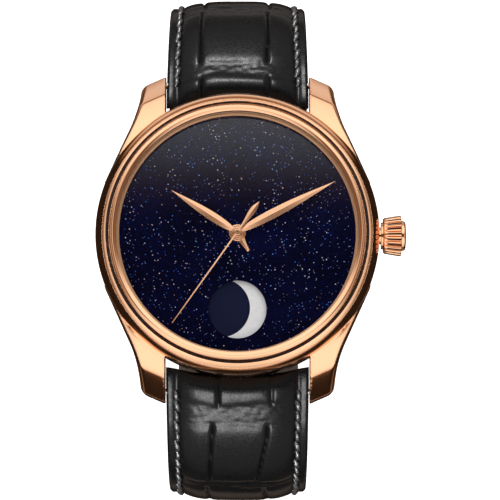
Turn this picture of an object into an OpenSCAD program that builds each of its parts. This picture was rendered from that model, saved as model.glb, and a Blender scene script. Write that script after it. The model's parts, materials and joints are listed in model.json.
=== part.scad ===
// Round wristwatch with a moon aperture, on a padded strap with a pin buckle.
// Millimetres. +Z is up and the dial faces up, 12 o'clock is +Y and the crown is at +X.
// The origin is on the axis of the hands, on the floor under the strap.
// Heights of the head's pieces are measured from the top of the dial.

/* [Case] */
// Outside diameter of the case band
case_d = 42; // [41.6:0.2:46]
// How far a lug reaches past the case band
lug_out = 3.3; // [2.9:0.1:4.5]
// Gap between two lugs, where the strap sits
lug_gap = 21.4; // [20:0.2:22]
// Width of the sloping shoulder outside the bezel
shoulder_w = 1.75; // [1.2:0.05:2]
// Height of the shoulder above the widest line of the band
shoulder_h = 3.1; // [2.4:0.1:3.6]
// Radial width of the bezel
bezel_w = 1.25; // [1.15:0.05:1.4]
// Height of the bezel above the case
bezel_h = 1.6; // [1.3:0.05:1.8]
// Thickness of the front crystal
crystal_t = 1.4; // [1:0.1:2]
// Height of the case below the top of the dial
case_depth = 8.4; // [8.2:0.1:9]
// Thickness of the caseback ring
back_t = 1; // [0.9:0.05:1.4]

/* [Dial and hands] */
// Thickness of the dial
dial_t = 0.5; // [0.3:0.05:0.6]
// Width of the moon disc outside a shade
moon_edge = 0.6; // [0.3:0.05:1]
// How far a shade reaches under the edge of the aperture
moon_lap = 0.07; // [0.02:0.01:0.2]
// Length of the hour hand
hour_len = 11.5; // [8:0.5:14]
// Gap from the tip of the minute hand to the ring round the dial
minute_gap = 1.3; // [0.8:0.1:4]
// Gap from the tip of the seconds hand to the ring round the dial
seconds_gap = 1.1; // [0.6:0.1:4]
// Length of the seconds hand's counterweight
seconds_tail = 5.5; // [3:0.5:9]
// Length of the small day and night hand
day_len = 3.2; // [2:0.2:6]
// Greatest width of the hour hand
hour_w = 1.3; // [0.8:0.1:2]
// Greatest width of the minute hand
minute_w = 1.4; // [0.8:0.1:2]

/* [Crown] */
// Diameter of the crown at its outer end
crown_d = 6.2; // [5.6:0.1:7.4]
// Length of the fluted part of the crown
crown_len = 2.75; // [2:0.05:4]
// Number of flutes
flutes = 22; // [16:1:28]
// How far the crown pulls out to set the hands
crown_pull = 1.4; // [0.8:0.1:1.8]

/* [Movement] */
// Width of the ring that holds the movement
holder_w = 1.35; // [1.2:0.05:1.6]
// Thickness of the mainplate
plate_t = 1.4; // [1.2:0.05:1.5]
// Thickness of the bridges
bridge_t = 0.9; // [0.6:0.05:1]

/* [Strap] */
// Height of the dial above the floor
dial_height = 60.5; // [59:0.5:68]
// Width of the strap between the lugs
strap_w = 20.6; // [19:0.2:21]
// Width of the strap at the buckle and at its free end
strap_end_w = 18; // [16:0.5:18.4]
// Thickness of the padded strap at the lugs
strap_t = 4.6; // [3.6:0.1:4.8]
// Thickness of the strap at its thin ends
strap_end_t = 2.6; // [2.2:0.1:2.8]
// Length of the half with the holes that lies flat
tail_flat = 33; // [30:1:40]
// Number of holes for the pin
holes = 6; // [3:1:7]
// Diameter of a hole for the pin
hole_d = 2; // [1.6:0.1:2.4]
// Distance from hole to hole
hole_step = 6; // [5:0.5:6.5]
// Distance from the tip of the strap to the first hole
first_hole = 20; // [14:1:26]

/* [Hidden] */
$fn = 64;

// Overrun of every cut, and the clearance of running and sliding fits
cut = 0.5;
run_fit = 0.05;
seat_gap = 0.1;

// Case radii, from the outside in
case_r = case_d / 2;
bezel_r = case_r - shoulder_w;
opening_r = bezel_r - bezel_w;
cavity_step = 0.35;
cavity_r = opening_r + cavity_step;
crystal_gap = 0.2;
crystal_r = opening_r - crystal_gap;
sight_step = 0.2;
sight_r = crystal_r - sight_step;
dial_r = cavity_r - seat_gap;

// Case heights
band_top = -1.2;
shoulder_top = band_top + shoulder_h;
bezel_seat_drop = 0.5;
bezel_seat = shoulder_top - bezel_seat_drop;
bezel_top = bezel_seat + bezel_h;
crystal_seat_h = 0.6;
crystal_z = bezel_seat + crystal_seat_h;
crystal_dome = 0.35;
case_floor = -case_depth;
undercut = 0.7;
undercut_h = 1.1;
undercut_z = case_floor + undercut_h;
band_low_h = 3.2;
band_low = case_floor + band_low_h;
foot_inset = 1.4;
foot_r = case_r - foot_inset;
groove_r = 2.7;

// Lugs
lug_reach = case_r + lug_out;
lug_inner_x = lug_gap / 2;
lug_arc_r = 9.4;
lug_top = -0.9;
lug_drop = 0.9;
lug_floor = case_floor - lug_drop;
lug_hollow_r = 19;
lug_root_share = 0.362;
lug_waist_shares = [0.762, 0.738];
lug_root = [foot_r, case_r * lug_root_share];
lug_waist = case_r * lug_waist_shares;
lug_waist_dir = atan2(lug_waist[1] - lug_root[1], lug_root[0] - lug_waist[0]);
lug_tip_half = 2.6;
lug_tip_slope = 35;
bar_z = -6.9;
bar_inset = 1.4;
bar_y = lug_reach - bar_inset;
bar_r = 0.6;
bar_tip_r = 0.4;
bar_tip_len = 1;

// Caseback
back_screws = 6;
back_screw_r = 0.35;
back_screw_head_r = 0.55;
back_screw_head_h = 0.35;
back_screw_len = 2.2;
back_step = 0.2;
back_frame_w = 3.9;
back_seat_w = 0.4;
back_ring_r = foot_r - back_step;
back_crystal_r = back_ring_r - back_frame_w;
back_sight_r = back_crystal_r - back_seat_w;
back_gasket_w = 0.2;
back_lip = 0.2;

// Crown and stem
stem_z = -3.9;
stem_r = 0.5;
groove_floor_r = 0.3;
tube_r = 1.25;
tube_bore_r = 0.9;
tube_out = 0.8;
crown_gap = 0.25;
neck_r = 2;
neck_len = 0.3;
crown_flare = 0.9;
crown_root_d = crown_d - crown_flare;
flute_r = 0.28;
cap_step = 0.9;
cap_r = crown_d / 2 - cap_step;
cap_len = 0.7;
crown_recess_r = 1.8;
recess_len = 1.7;
seal_r = 0.25;
crown_x = case_r + crown_gap;

// The movement's plan: places, radii and tooth modules are shares of its radius
movement_r = cavity_r - holder_w;
pinion_share = 0.494;
pinion_len_share = 0.0765;
window_shares = [0.447, 0.8235];
ledge_share = 0.765;
pinion_x0 = movement_r * pinion_share;
pinion_len = movement_r * pinion_len_share;
stem_tip_gap = 0.4;
stem_tip_x = pinion_x0 - crown_pull - stem_tip_gap;
window_x = movement_r * window_shares;
window_gap = 0.45;
ledge_r = movement_r * ledge_share;

// Movement heights
disc_gap = 0.05;
disc_t = 0.25;
disc_drop = 0.5;
disc_z = -dial_t - disc_drop;
motion_room = 1.8;
train_room = 2.1;
plate_top = disc_z - motion_room;
plate_floor = plate_top - plate_t;
bridge_top = plate_floor - train_room;
bridge_floor = bridge_top - bridge_t;
rim_w = 0.5;
disc_clear = 0.25;
disc_r = movement_r - rim_w - disc_clear;
holder_over = 0.8;
holder_floor = case_floor + holder_over;

// Heights of the wheels under the dial and of the train, as shares of the room that they stand in
function motion_z(share) = plate_top + motion_room * share;
function train_z(share) = bridge_top + train_room * share;

// Places of the arbors, each found from the distance to its neighbours
function polar(r, a) = [r * cos(a), r * sin(a)];
function heading(p, q) = atan2(q[1] - p[1], q[0] - p[0]);
function meet(p, rp, q, rq, side) =
  let (d = norm(q - p), a = acos((rp * rp + d * d - rq * rq) / (2 * rp * d)))
  p + polar(rp, heading(p, q) + side * a);

// Tooth counts and tooth modules of the going train
barrel_teeth = 72;
great_pinion = 12;
great_teeth = 64;
third_pinion = 8;
third_teeth = 60;
fourth_pinion = 8;
fourth_teeth = 72;
escape_pinion = 8;
escape_teeth = 20;
barrel_m_share = 0.01;
train_m_share = 0.00676;
fourth_m_share = 0.0053;
barrel_m = movement_r * barrel_m_share;
great_m = movement_r * train_m_share;
third_m = great_m;
fourth_m = movement_r * fourth_m_share;
centre = [0, 0];
barrel_shares = [0.3235, 0.491];
barrel_at = movement_r * barrel_shares;
third_at = polar((third_teeth + fourth_pinion) / 2 * third_m, 140);
great_at = meet(barrel_at, (barrel_teeth + great_pinion) / 2 * barrel_m,
  third_at, (great_teeth + third_pinion) / 2 * great_m, -1);
escape_at = polar((fourth_teeth + escape_pinion) / 2 * fourth_m, 250);
escape_share = 0.138;
balance_shares = [-0.329, -0.565];
pallet_reach_share = 0.188;
escape_r = movement_r * escape_share;
balance_at = movement_r * balance_shares;
pallet_at = escape_at + polar(movement_r * pallet_reach_share, heading(escape_at, balance_at));

// Winding works
ratchet_teeth = 60;
crown_wheel_teeth = 36;
winding_teeth = 14;
winding_m_share = 0.0103;
winding_m = movement_r * winding_m_share;
winding_gap = 0.1;
crown_teeth_h = 0.65;
winding_r = stem_z - bridge_top - crown_teeth_h - winding_gap;
winding_reach = (ratchet_teeth + crown_wheel_teeth) / 2 * winding_m;
crown_wheel_at = [barrel_at[0] + sqrt(winding_reach * winding_reach - barrel_at[1] * barrel_at[1]), 0];
click_reach_share = 0.388;
lever_shares = [0.6235, 0.188];
click_at = barrel_at + [movement_r * click_reach_share, 0];
lever_at = movement_r * lever_shares;

// Motion works under the dial
cannon_teeth = 12;
minute_teeth = 36;
minute_pinion = 10;
hour_teeth = 40;
motion_m_share = 0.00588;
motion_m = movement_r * motion_m_share;
hour_m = motion_m * (cannon_teeth + minute_teeth) / (minute_pinion + hour_teeth);
day_driver = 20;
idler_teeth = 40;
day_teeth = 40;
day_m_share = 0.00647;
day_m = movement_r * day_m_share;
idler_gap = (day_driver + idler_teeth) / 2 * day_m;
day_m2 = idler_gap * 2 / (idler_teeth + day_teeth);
moon_pinion = 8;
moon_teeth = 63;
moon_m_share = 0.00706;
moon_m = movement_r * moon_m_share;
moon_drive = 8;
moon_ring = 90;
ring_m_share = 0.00765;
ring_m = movement_r * ring_m_share;
minute_at = polar((cannon_teeth + minute_teeth) / 2 * motion_m, -60);
idler_at = polar(idler_gap, 120);
moon_wheel_at = meet(centre, (moon_ring - moon_drive) / 2 * ring_m,
  idler_at, (moon_pinion + moon_teeth) / 2 * moon_m, -1);

// Radii of the nested pipes at the centre, from the inside out
pipe_shares = [0.0088, 0.0265, 0.0424, 0.0588];
second_r = movement_r * pipe_shares[0];
cannon_bore_r = second_r + run_fit;
cannon_r = movement_r * pipe_shares[1];
hour_bore_r = cannon_r + run_fit;
hour_r = movement_r * pipe_shares[2];
day_bore_r = hour_r + run_fit;
day_r = movement_r * pipe_shares[3];
dial_hole_r = day_r + seat_gap;

// Heights of the hands, lowest first, and how far a pipe or hub stands above its hand
hand_t = 0.15;
hand_rise = 0.35;
hand_step = 0.34;
hub_rise = 0.05;
day_z = hand_rise;
hour_z = day_z + hand_step;
minute_z = hour_z + hand_step;
second_z = minute_z + hand_step;
boss_w = 0.25;
boss_r = day_r + boss_w;
minute_len = sight_r - minute_gap;
seconds_len = sight_r - seconds_gap;

// Angles of the hands, clockwise from 12 o'clock, and of the moon disc
hour_at = 302.8;
minute_hand_at = 62.3;
second_at = 215.5;
day_at = 149;
moon_turn = 12.7;

// The moon: shades on a disc with a toothed ring inside, seen through an aperture
addendum_share = 0.8;
dedendum_share = 1.15;
ring_gap = 0.95;
ring_pitch_r = ring_m * moon_ring / 2;
ring_out_r = ring_pitch_r + ring_m * dedendum_share;
shade_r = (disc_r - ring_out_r - moon_edge - ring_gap) / 2;
shade_t = 0.08;
moon_r = shade_r - moon_lap;
moon_y = disc_r - moon_edge - shade_r;

// Route of the strap: arcs given as radius and turn, from each spring bar down
strap_start = -19.9;
shoulder_arc = [18.2, 90 + strap_start];
buckle_side_arc = [50, 15];
buckle_end_arc = [17, 95];
tail_side_arc = [60, 18];
tail_centre_z = strap_end_t / 2;
side_drop = shoulder_arc[0] * cos(strap_start) + tail_side_arc[0] * sin(tail_side_arc[1]);
tail_end_turn = 90 - tail_side_arc[1];
tail_end_arc = [
  (dial_height + bar_z - side_drop - tail_centre_z) / (1 - cos(tail_end_turn)),
  tail_end_turn
];
buckle_route = [shoulder_arc, buckle_side_arc, buckle_end_arc];
tail_route = [shoulder_arc, tail_side_arc, tail_end_arc];
strap_rings = 36;
roll_r = strap_t / 2;
horn_rise = 1.2;
horn_r = roll_r + horn_rise;
horn_len = 4.3;
horn_root_share = 0.9;
horn_h_share = 1.4;
roll_wrap = 0.15;
buckle_roll_r = strap_end_t / 2 + roll_wrap;
lining_t = 0.9;
tip_share = 0.6;
tip_r = strap_end_w * tip_share;

// Length, place and heading along a route of arcs, which all turn the same way
function arc_len(arc) = arc[0] * arc[1] * PI / 180;
function route_len(route, n) = n <= 0 ? 0 : arc_len(route[n - 1]) + route_len(route, n - 1);
function arc_step(p, a, arc, turned) = [
  p[0] + arc[0] * (sin(a) - sin(a - turned)),
  p[1] + arc[0] * (cos(a - turned) - cos(a)),
  a - turned
];
function walk(route, s, p, a, n) =
  n >= len(route) ? [p[0] + s * cos(a), p[1] + s * sin(a), a] :
  s <= arc_len(route[n]) ? arc_step(p, a, route[n], s / route[n][0] * 180 / PI) :
  let (q = arc_step(p, a, route[n], route[n][1]))
  walk(route, s - arc_len(route[n]), [q[0], q[1]], q[2], n + 1);
function along(route, s) = walk(route, s, [bar_y, dial_height + bar_z], strap_start, 0);

buckle_len = route_len(buckle_route, 3);
tail_len = route_len(tail_route, 3) + tail_flat;

// Buckle
buckle_bar_r = 0.7;
frame_over = 3.6;
frame_w = strap_end_w + frame_over;
frame_bar_r = 1.1;
frame_reach = 12.5;
frame_arm_w = 1.4;
arm_h_share = 0.8;
tang_w = 1.3;
tang_r = 1.25;
tang_h = 0.8;
tang_slot_w = 3.2;
tang_slot_len = 2.4;
keeper_w = 6;
keeper_wall = 1.2;
keeper_gap = 0.3;
keeper_room = 2 * strap_end_t + 3 * keeper_gap;
fixed_keeper_at = 9.5;
loose_keeper_at = 18.5;

module ring(r_in, r_out, z_low, z_high) {
  translate([0, 0, z_low])
    difference() {
      cylinder(h = z_high - z_low, r = r_out);
      translate([0, 0, -cut]) cylinder(h = z_high - z_low + 2 * cut, r = r_in);
    }
}

module rod(r, z_low, z_high) {
  translate([0, 0, z_low]) cylinder(h = z_high - z_low, r = r);
}

module at(place) {
  translate([place[0], place[1], 0]) children();
}

module in_head() {
  translate([0, 0, dial_height]) children();
}

// Turns a shape that points at 12 o'clock to an angle on the dial
module clockwise(angle) {
  rotate([0, 0, -angle]) children();
}

module along_x(x_low, x_high, r) {
  translate([x_low, 0, 0]) rotate([0, 90, 0]) cylinder(h = x_high - x_low, r = r);
}

function arc_points(c, r, from, to, steps) =
  [for (i = [0:steps]) c + polar(r, from + (to - from) * i / steps)];

// Outline of a gear: four corners a tooth, one tooth centred on the angle phase.
// The shares are the half widths of a tooth at root and tip, and its heights in modules.
tooth_root_share = 0.23;
tooth_tip_share = 0.09;
space_root_share = 0.41;
space_tip_share = 0.27;
function gear_outline(teeth, m, phase, r_root, r_tip, root_half, tip_half) = [
  for (i = [0:teeth - 1], side = [-1, 1])
    each side < 0
      ? [polar(r_root, phase + (i - root_half) * 360 / teeth),
       polar(r_tip, phase + (i - tip_half) * 360 / teeth)]
      : [polar(r_tip, phase + (i + tip_half) * 360 / teeth),
       polar(r_root, phase + (i + root_half) * 360 / teeth)]
];

module gear(teeth, m, phase, z_low, z_high) {
  translate([0, 0, z_low])
    linear_extrude(z_high - z_low)
      polygon(gear_outline(teeth, m, phase, m * (teeth / 2 - dedendum_share),
        m * (teeth / 2 + addendum_share), tooth_root_share, tooth_tip_share));
}

// The driven gear of a pair has a space where the driver has its tooth
function driven(from, to, teeth) = heading(to, from) + 180 / teeth;

module spokes(count, r_in, r_out, w, z_low, z_high) {
  for (i = [0:count - 1])
    rotate([0, 0, i * 360 / count])
      translate([r_in, -w / 2, z_low])
        cube([r_out - r_in, w, z_high - z_low]);
}

// Rim with spokes; the outside is left to the teeth
module crossed_wheel(teeth, m, phase, z_low, z_high, count) {
  rim_r = m * (teeth / 2 - dedendum_share) - 3 * m;
  hub_r = rim_r / 4;
  difference() {
    gear(teeth, m, phase, z_low, z_high);
    difference() {
      rod(rim_r, z_low - cut, z_high + cut);
      rod(hub_r, z_low - 2 * cut, z_high + 2 * cut);
      spokes(count, 0, rim_r + m, rim_r / 6, z_low - 2 * cut, z_high + 2 * cut);
    }
  }
}

// Case

module band_profile() {
  top_r = (shoulder_w * shoulder_w + shoulder_h * shoulder_h) / (2 * shoulder_w);
  polygon(concat(
    [[cavity_r, case_floor], [cavity_r, bezel_seat], [bezel_r, bezel_seat]],
    arc_points([case_r - top_r, band_top], top_r, asin(shoulder_h / top_r), 0, 6),
    [[case_r, band_low], [case_r - undercut, undercut_z], [foot_r, case_floor]]
  ));
}

module lug_plan() {
  hollow_at = lug_waist + polar(lug_hollow_r, 90 - lug_waist_dir);
  difference() {
    polygon([
      [lug_inner_x, lug_root[1]],
      [lug_root[0], lug_root[1]],
      lug_waist,
      [lug_waist[0], lug_reach],
      [lug_inner_x, lug_reach]
    ]);
    translate(hollow_at) circle(r = lug_hollow_r, $fn = 128);
    translate([lug_inner_x + lug_tip_half, lug_reach])
      rotate(-lug_tip_slope)
        translate([-cut, 0])
          square([lug_gap, lug_gap]);
  }
}

module lug_side() {
  intersection() {
    union() {
      translate([lug_reach - lug_arc_r, lug_top - lug_arc_r])
        circle(r = lug_arc_r, $fn = 128);
      translate([lug_root[1] - cut, lug_floor])
        square([lug_reach - lug_arc_r - lug_root[1] + cut, lug_top - lug_floor]);
    }
    polygon([
      [lug_root[1] - cut, case_floor],
      [foot_r, case_floor],
      [lug_reach + cut, lug_floor],
      [lug_reach + cut, lug_top + cut],
      [lug_root[1] - cut, lug_top + cut]
    ]);
  }
}

module lug() {
  intersection() {
    translate([0, 0, lug_floor - cut])
      linear_extrude(bezel_top - lug_floor + 2 * cut) lug_plan();
    rotate([90, 0, 90]) linear_extrude(case_r) lug_side();
  }
}

module case_middle() {
  color("#e8b48c")
    in_head()
      difference() {
        union() {
          rotate_extrude() band_profile();
          for (x = [0, 1], y = [0, 1])
            mirror([x, 0, 0]) mirror([0, y, 0]) lug();
        }
        rod(cavity_r, case_floor - 2 * cut, bezel_seat);
        rod(bezel_r, bezel_seat, bezel_top + cut);
        for (side = [-1, 1])
          translate([0, side * bar_y, bar_z]) {
            along_x(-lug_inner_x - bar_tip_len - seat_gap,
              lug_inner_x + bar_tip_len + seat_gap, bar_tip_r + run_fit);
            along_x(-lug_inner_x, lug_inner_x, groove_r);
          }
        translate([0, 0, stem_z]) along_x(cavity_r - cut, case_r + cut, tube_r);
        back_screw_places() rod(back_screw_r, case_floor - cut,
          case_floor - back_t + back_screw_len + seat_gap);
      }
}

module bezel() {
  w = bezel_w / 2;
  color("#e8b48c")
    in_head()
      rotate_extrude()
        polygon(concat(
          [[opening_r, bezel_seat], [bezel_r, bezel_seat]],
          arc_points([opening_r + w, bezel_top - w], w, 0, 180, 8)
        ));
}

module front_crystal() {
  dome_steps = 4;
  color("#dfe8ee", 0.35)
    in_head()
      rotate_extrude()
        polygon(concat(
          [[0, crystal_z], [crystal_r, crystal_z]],
          [for (i = [dome_steps:-1:0])
            let (t = i / dome_steps)
            [crystal_r * t, crystal_z + crystal_t + crystal_dome * (1 - t * t)]]
        ));
}

module crystal_gasket() {
  color("#202124")
    in_head() ring(crystal_r, opening_r, crystal_z, crystal_z + bezel_h * 0.5);
}

module dial_ring() {
  step_w = 0.15;
  color("#e8b48c")
    in_head()
      rotate_extrude()
        polygon([
          [sight_r - step_w, 0], [dial_r, 0], [dial_r, bezel_seat],
          [opening_r, bezel_seat], [opening_r, crystal_z],
          [sight_r + step_w, crystal_z]
        ]);
}

module caseback_ring() {
  color("#e8b48c")
    in_head()
      difference() {
        rod(back_ring_r, case_floor - back_t, case_floor);
        rod(back_sight_r, case_floor - back_t - cut, case_floor + cut);
        rod(back_crystal_r + back_gasket_w, case_floor - back_t + back_lip, case_floor + cut);
        back_screw_places() {
          rod(back_screw_r, case_floor - back_t - cut, case_floor + cut);
          rod(back_screw_head_r, case_floor - back_t - cut,
            case_floor - back_t + back_screw_head_h);
        }
      }
}

module back_screw_places() {
  for (i = [0:back_screws - 1])
    rotate([0, 0, 30 + i * 360 / back_screws])
      at([(cavity_r + back_ring_r) / 2, 0])
        children();
}

module caseback_screws() {
  slot_w = 0.16;
  slot_h = 0.15;
  color("#d9a57e")
    in_head()
      back_screw_places()
        difference() {
          union() {
            rod(back_screw_r - run_fit / 2, case_floor - back_t,
              case_floor - back_t + back_screw_len);
            rod(back_screw_head_r - run_fit, case_floor - back_t,
              case_floor - back_t + back_screw_head_h);
          }
          translate([-back_screw_head_r, -slot_w / 2, case_floor - back_t - cut])
            cube([2 * back_screw_head_r, slot_w, slot_h + cut]);
        }
}

module back_crystal() {
  color("#dfe8ee", 0.35)
    in_head() rod(back_crystal_r, case_floor - back_t + back_lip, case_floor);
}

module back_gasket() {
  color("#202124")
    in_head()
      ring(back_crystal_r, back_crystal_r + back_gasket_w,
        case_floor - back_t + back_lip, case_floor);
}

// Crown and stem

module crown() {
  body_x = crown_x + neck_len;
  color("#e8b48c")
    in_head()
      translate([0, 0, stem_z])
        difference() {
          union() {
            along_x(crown_x, body_x, neck_r);
            translate([body_x, 0, 0])
              rotate([0, 90, 0])
                cylinder(h = crown_len, r1 = crown_root_d / 2, r2 = crown_d / 2);
            along_x(body_x + crown_len, body_x + crown_len + cap_len, cap_r);
          }
          along_x(crown_x - cut, crown_x + recess_len, crown_recess_r);
          along_x(crown_x, crown_x + recess_len + cut, stem_r);
          for (i = [0:flutes - 1])
            rotate([i * 360 / flutes, 0, 0])
              translate([body_x - cut, 0, crown_d / 2])
                rotate([0, 90, 0])
                  cylinder(h = crown_len + 2 * cut, r = flute_r, $fn = 16);
        }
}

module crown_gasket() {
  color("#202124")
    in_head()
      translate([crown_x + tube_out / 2, 0, stem_z])
        rotate([0, 90, 0])
          rotate_extrude()
            translate([crown_recess_r - seal_r, 0]) circle(r = seal_r - run_fit / 2, $fn = 24);
}

module crown_tube() {
  color("#c9c9cc")
    in_head()
      translate([0, 0, stem_z])
        difference() {
          along_x(cavity_r - seat_gap, crown_x + tube_out, tube_r - run_fit / 5);
          along_x(cavity_r - cut, crown_x + tube_out + cut, tube_bore_r);
        }
}

module winding_stem() {
  groove_w = 0.7;
  groove_x = lever_at[0] - groove_w / 2;
  color("#b9bcc2")
    in_head()
      translate([0, 0, stem_z])
        difference() {
          along_x(stem_tip_x, crown_x + recess_len + cut, stem_r);
          difference() {
            along_x(groove_x, groove_x + groove_w, stem_r + cut);
            along_x(groove_x - cut, groove_x + groove_w + cut, groove_floor_r);
          }
        }
}

module winding_pinion() {
  hub_share = 1.3;
  root_share = 0.8;
  hub_r = winding_r * 0.6;
  color("#b9bcc2")
    in_head()
      translate([pinion_x0, 0, stem_z])
        rotate([0, 90, 0])
          difference() {
            union() {
              linear_extrude(pinion_len)
                polygon(gear_outline(winding_teeth, 0, 0,
                  winding_r * root_share, winding_r, tooth_root_share, tooth_tip_share));
              rod(hub_r, 0, pinion_len * hub_share);
            }
            rod(stem_r + run_fit, -cut, hub_share * pinion_len + cut);
          }
}

// Dial side

module dial() {
  color("#0b0f24")
    in_head()
      difference() {
        rod(dial_r, -dial_t, 0);
        rod(dial_hole_r, -dial_t - cut, cut);
        at([0, -moon_y]) rod(moon_r, -dial_t - cut, cut);
      }
}

module shade_places() {
  for (i = [0:2])
    rotate([0, 0, -90 - moon_turn + i * 120]) at([moon_y, 0]) children();
}

module moon_disc() {
  ring_phase = heading(centre, moon_wheel_at);
  color("#dcdcdc")
    in_head()
      difference() {
        rod(disc_r, disc_z, disc_z + disc_t);
        translate([0, 0, disc_z - cut])
          linear_extrude(disc_t + 2 * cut)
            polygon(gear_outline(moon_ring, ring_m, ring_phase,
              ring_pitch_r - addendum_share * ring_m, ring_pitch_r + dedendum_share * ring_m,
              space_root_share, space_tip_share));
        shade_places() rod(shade_r, disc_z + disc_t - shade_t, disc_z + disc_t + cut);
      }
}

module moon_shades() {
  color("#10152e")
    in_head() shade_places() rod(shade_r, disc_z + disc_t - shade_t, disc_z + disc_t);
}

// A short pin under a wheel, which turns in the mainplate
module foot_pin(z_high) {
  rod(pin_r, plate_top - pin_depth, z_high);
}

module moon_wheel() {
  wheel_shares = [0.211, 0.305];
  color("#cfae62")
    in_head()
      at(moon_wheel_at) {
        crossed_wheel(moon_teeth, moon_m, driven(idler_at, moon_wheel_at, moon_teeth),
          motion_z(wheel_shares[0]), motion_z(wheel_shares[1]), 4);
        gear(moon_drive, ring_m, heading(centre, moon_wheel_at),
          motion_z(wheel_shares[0]), disc_z + disc_t + disc_gap);
        foot_pin(motion_z(wheel_shares[1]) - disc_gap);
      }
}

// Leaf shape: a share of the length along, and the half width there
leaf_bulge_share = 0.72;
leaf_waist_share = 0.6;
leaf_steps = 14;
tail_bulge_share = 1.9;
function leaf_half(t, w, w_root, bulge) =
  w_root * (1 - t) + (w / 2 - w_root * leaf_waist_share) * sin(180 * pow(t, bulge));
module leaf(r_from, r_to, w, w_root, bulge = leaf_bulge_share) {
  polygon(concat(
    [for (i = [0:leaf_steps])
      let (t = i / leaf_steps) [leaf_half(t, w, w_root, bulge), r_from + (r_to - r_from) * t]],
    [for (i = [leaf_steps - 1:-1:0])
      let (t = i / leaf_steps) [-leaf_half(t, w, w_root, bulge), r_from + (r_to - r_from) * t]]
  ));
}

module flat_hand(z) {
  translate([0, 0, z]) linear_extrude(hand_t) children();
}

// Hubs stand out past the pipes that carry them
hub_wall = 0.26;
hub_lap_share = 0.9;

module hour_hand() {
  hub_r = hour_r + hub_wall;
  root_w = 0.3;
  color("#f0c39c")
    in_head()
      clockwise(hour_at)
        difference() {
          union() {
            flat_hand(hour_z) leaf(hub_r * hub_lap_share, hour_len, hour_w, root_w);
            rod(hub_r, hour_z, hour_z + hand_t + hub_rise);
          }
          rod(hour_r, hour_z - cut, hour_z + hand_t + cut);
        }
}

module minute_hand() {
  hub_r = cannon_r + hub_wall;
  root_w = 0.28;
  color("#f0c39c")
    in_head()
      clockwise(minute_hand_at)
        difference() {
          union() {
            flat_hand(minute_z) leaf(hub_r * hub_lap_share, minute_len, minute_w, root_w);
            rod(hub_r, minute_z, minute_z + hand_t + hub_rise);
          }
          rod(cannon_r, minute_z - cut, minute_z + hand_t + cut);
        }
}

module seconds_hand() {
  hub_r = second_r + hub_wall + hub_rise;
  needle_w = 0.24;
  tail_w = 1;
  tail_root_w = 0.14;
  color("#f0c39c")
    in_head()
      clockwise(second_at)
        difference() {
          union() {
            flat_hand(second_z)
              polygon([
                [-needle_w / 2, 0], [needle_w / 2, 0],
                [needle_w / 4, seconds_len], [-needle_w / 4, seconds_len]
              ]);
            flat_hand(second_z)
              rotate(180)
                leaf(hub_r * hub_lap_share, seconds_tail, tail_w, tail_root_w, tail_bulge_share);
            rod(hub_r, second_z, second_z + hand_t + hub_rise);
          }
          rod(second_r, second_z - cut, second_z + hand_t + cut);
        }
}

module day_night_hand() {
  base_w = 1.1;
  tip_w = 0.4;
  color("#f0c39c")
    in_head()
      clockwise(day_at)
        difference() {
          union() {
            flat_hand(day_z)
              polygon([
                [-base_w / 2, 0], [base_w / 2, 0],
                [tip_w / 2, day_len - tip_w / 2], [-tip_w / 2, day_len - tip_w / 2]
              ]);
            at([0, day_len - tip_w / 2]) rod(tip_w / 2, day_z, day_z + hand_t);
            rod(boss_r, day_z, day_z + hand_t);
          }
          rod(day_r, day_z - cut, day_z + hand_t + cut);
        }
}

// Motion works

module pipe(r_in, z_low, z_high) {
  difference() {
    children();
    rod(r_in, z_low - cut, z_high + cut);
  }
}

// A gear under the dial; its shares give its two faces in the room there
module motion_gear(teeth, m, phase, shares) {
  gear(teeth, m, phase, motion_z(shares[0]), motion_z(shares[1]));
}

cannon_shares = [0.055, 0.278];
minute_wheel_shares = [0.067, 0.178];
minute_pinion_shares = [0.111, 0.489];
hour_wheel_shares = [0.361, 0.472];
day_driver_shares = [0.444, 0.667];
idler_shares = [0.528, 0.639];
idler_upper_shares = [0.639, 0.822];
moon_pinion_shares = [0.167, 0.556];
day_wheel_shares = [0.722, 0.822];

module cannon_pinion() {
  top = minute_z + hand_t + hub_rise;
  color("#b9bcc2")
    in_head()
      pipe(cannon_bore_r, plate_top, top) {
        union() {
          motion_gear(cannon_teeth, motion_m, heading(centre, minute_at), cannon_shares);
          rod(cannon_r, motion_z(cannon_shares[0]), top);
        }
      }
}

module minute_wheel() {
  color("#cfae62")
    in_head()
      at(minute_at) {
        motion_gear(minute_teeth, motion_m, driven(centre, minute_at, minute_teeth), minute_wheel_shares);
        motion_gear(minute_pinion, hour_m, heading(minute_at, centre), minute_pinion_shares);
        foot_pin(motion_z(minute_wheel_shares[1]));
      }
}

module hour_wheel() {
  top = hour_z + hand_t + hub_rise;
  color("#cfae62")
    in_head()
      pipe(hour_bore_r, plate_top, top) {
        union() {
          motion_gear(hour_teeth, hour_m, driven(minute_at, centre, hour_teeth), hour_wheel_shares);
          motion_gear(day_driver, day_m, heading(centre, idler_at), day_driver_shares);
          rod(hour_r, motion_z(hour_wheel_shares[0]), top);
        }
      }
}

module day_night_idler() {
  color("#cfae62")
    in_head()
      at(idler_at) {
        motion_gear(idler_teeth, day_m, driven(centre, idler_at, idler_teeth), idler_shares);
        motion_gear(idler_teeth, day_m2, heading(idler_at, centre), idler_upper_shares);
        motion_gear(moon_pinion, moon_m, heading(idler_at, moon_wheel_at), moon_pinion_shares);
        foot_pin(motion_z(moon_pinion_shares[0]) + pin_r);
      }
}

module day_night_wheel() {
  top = day_z + hand_t;
  color("#cfae62")
    in_head()
      pipe(day_bore_r, plate_top, top) {
        union() {
          motion_gear(day_teeth, day_m2, driven(idler_at, centre, day_teeth), day_wheel_shares);
          rod(day_r, motion_z(day_wheel_shares[0]), top);
        }
      }
}

// Movement plates

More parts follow.
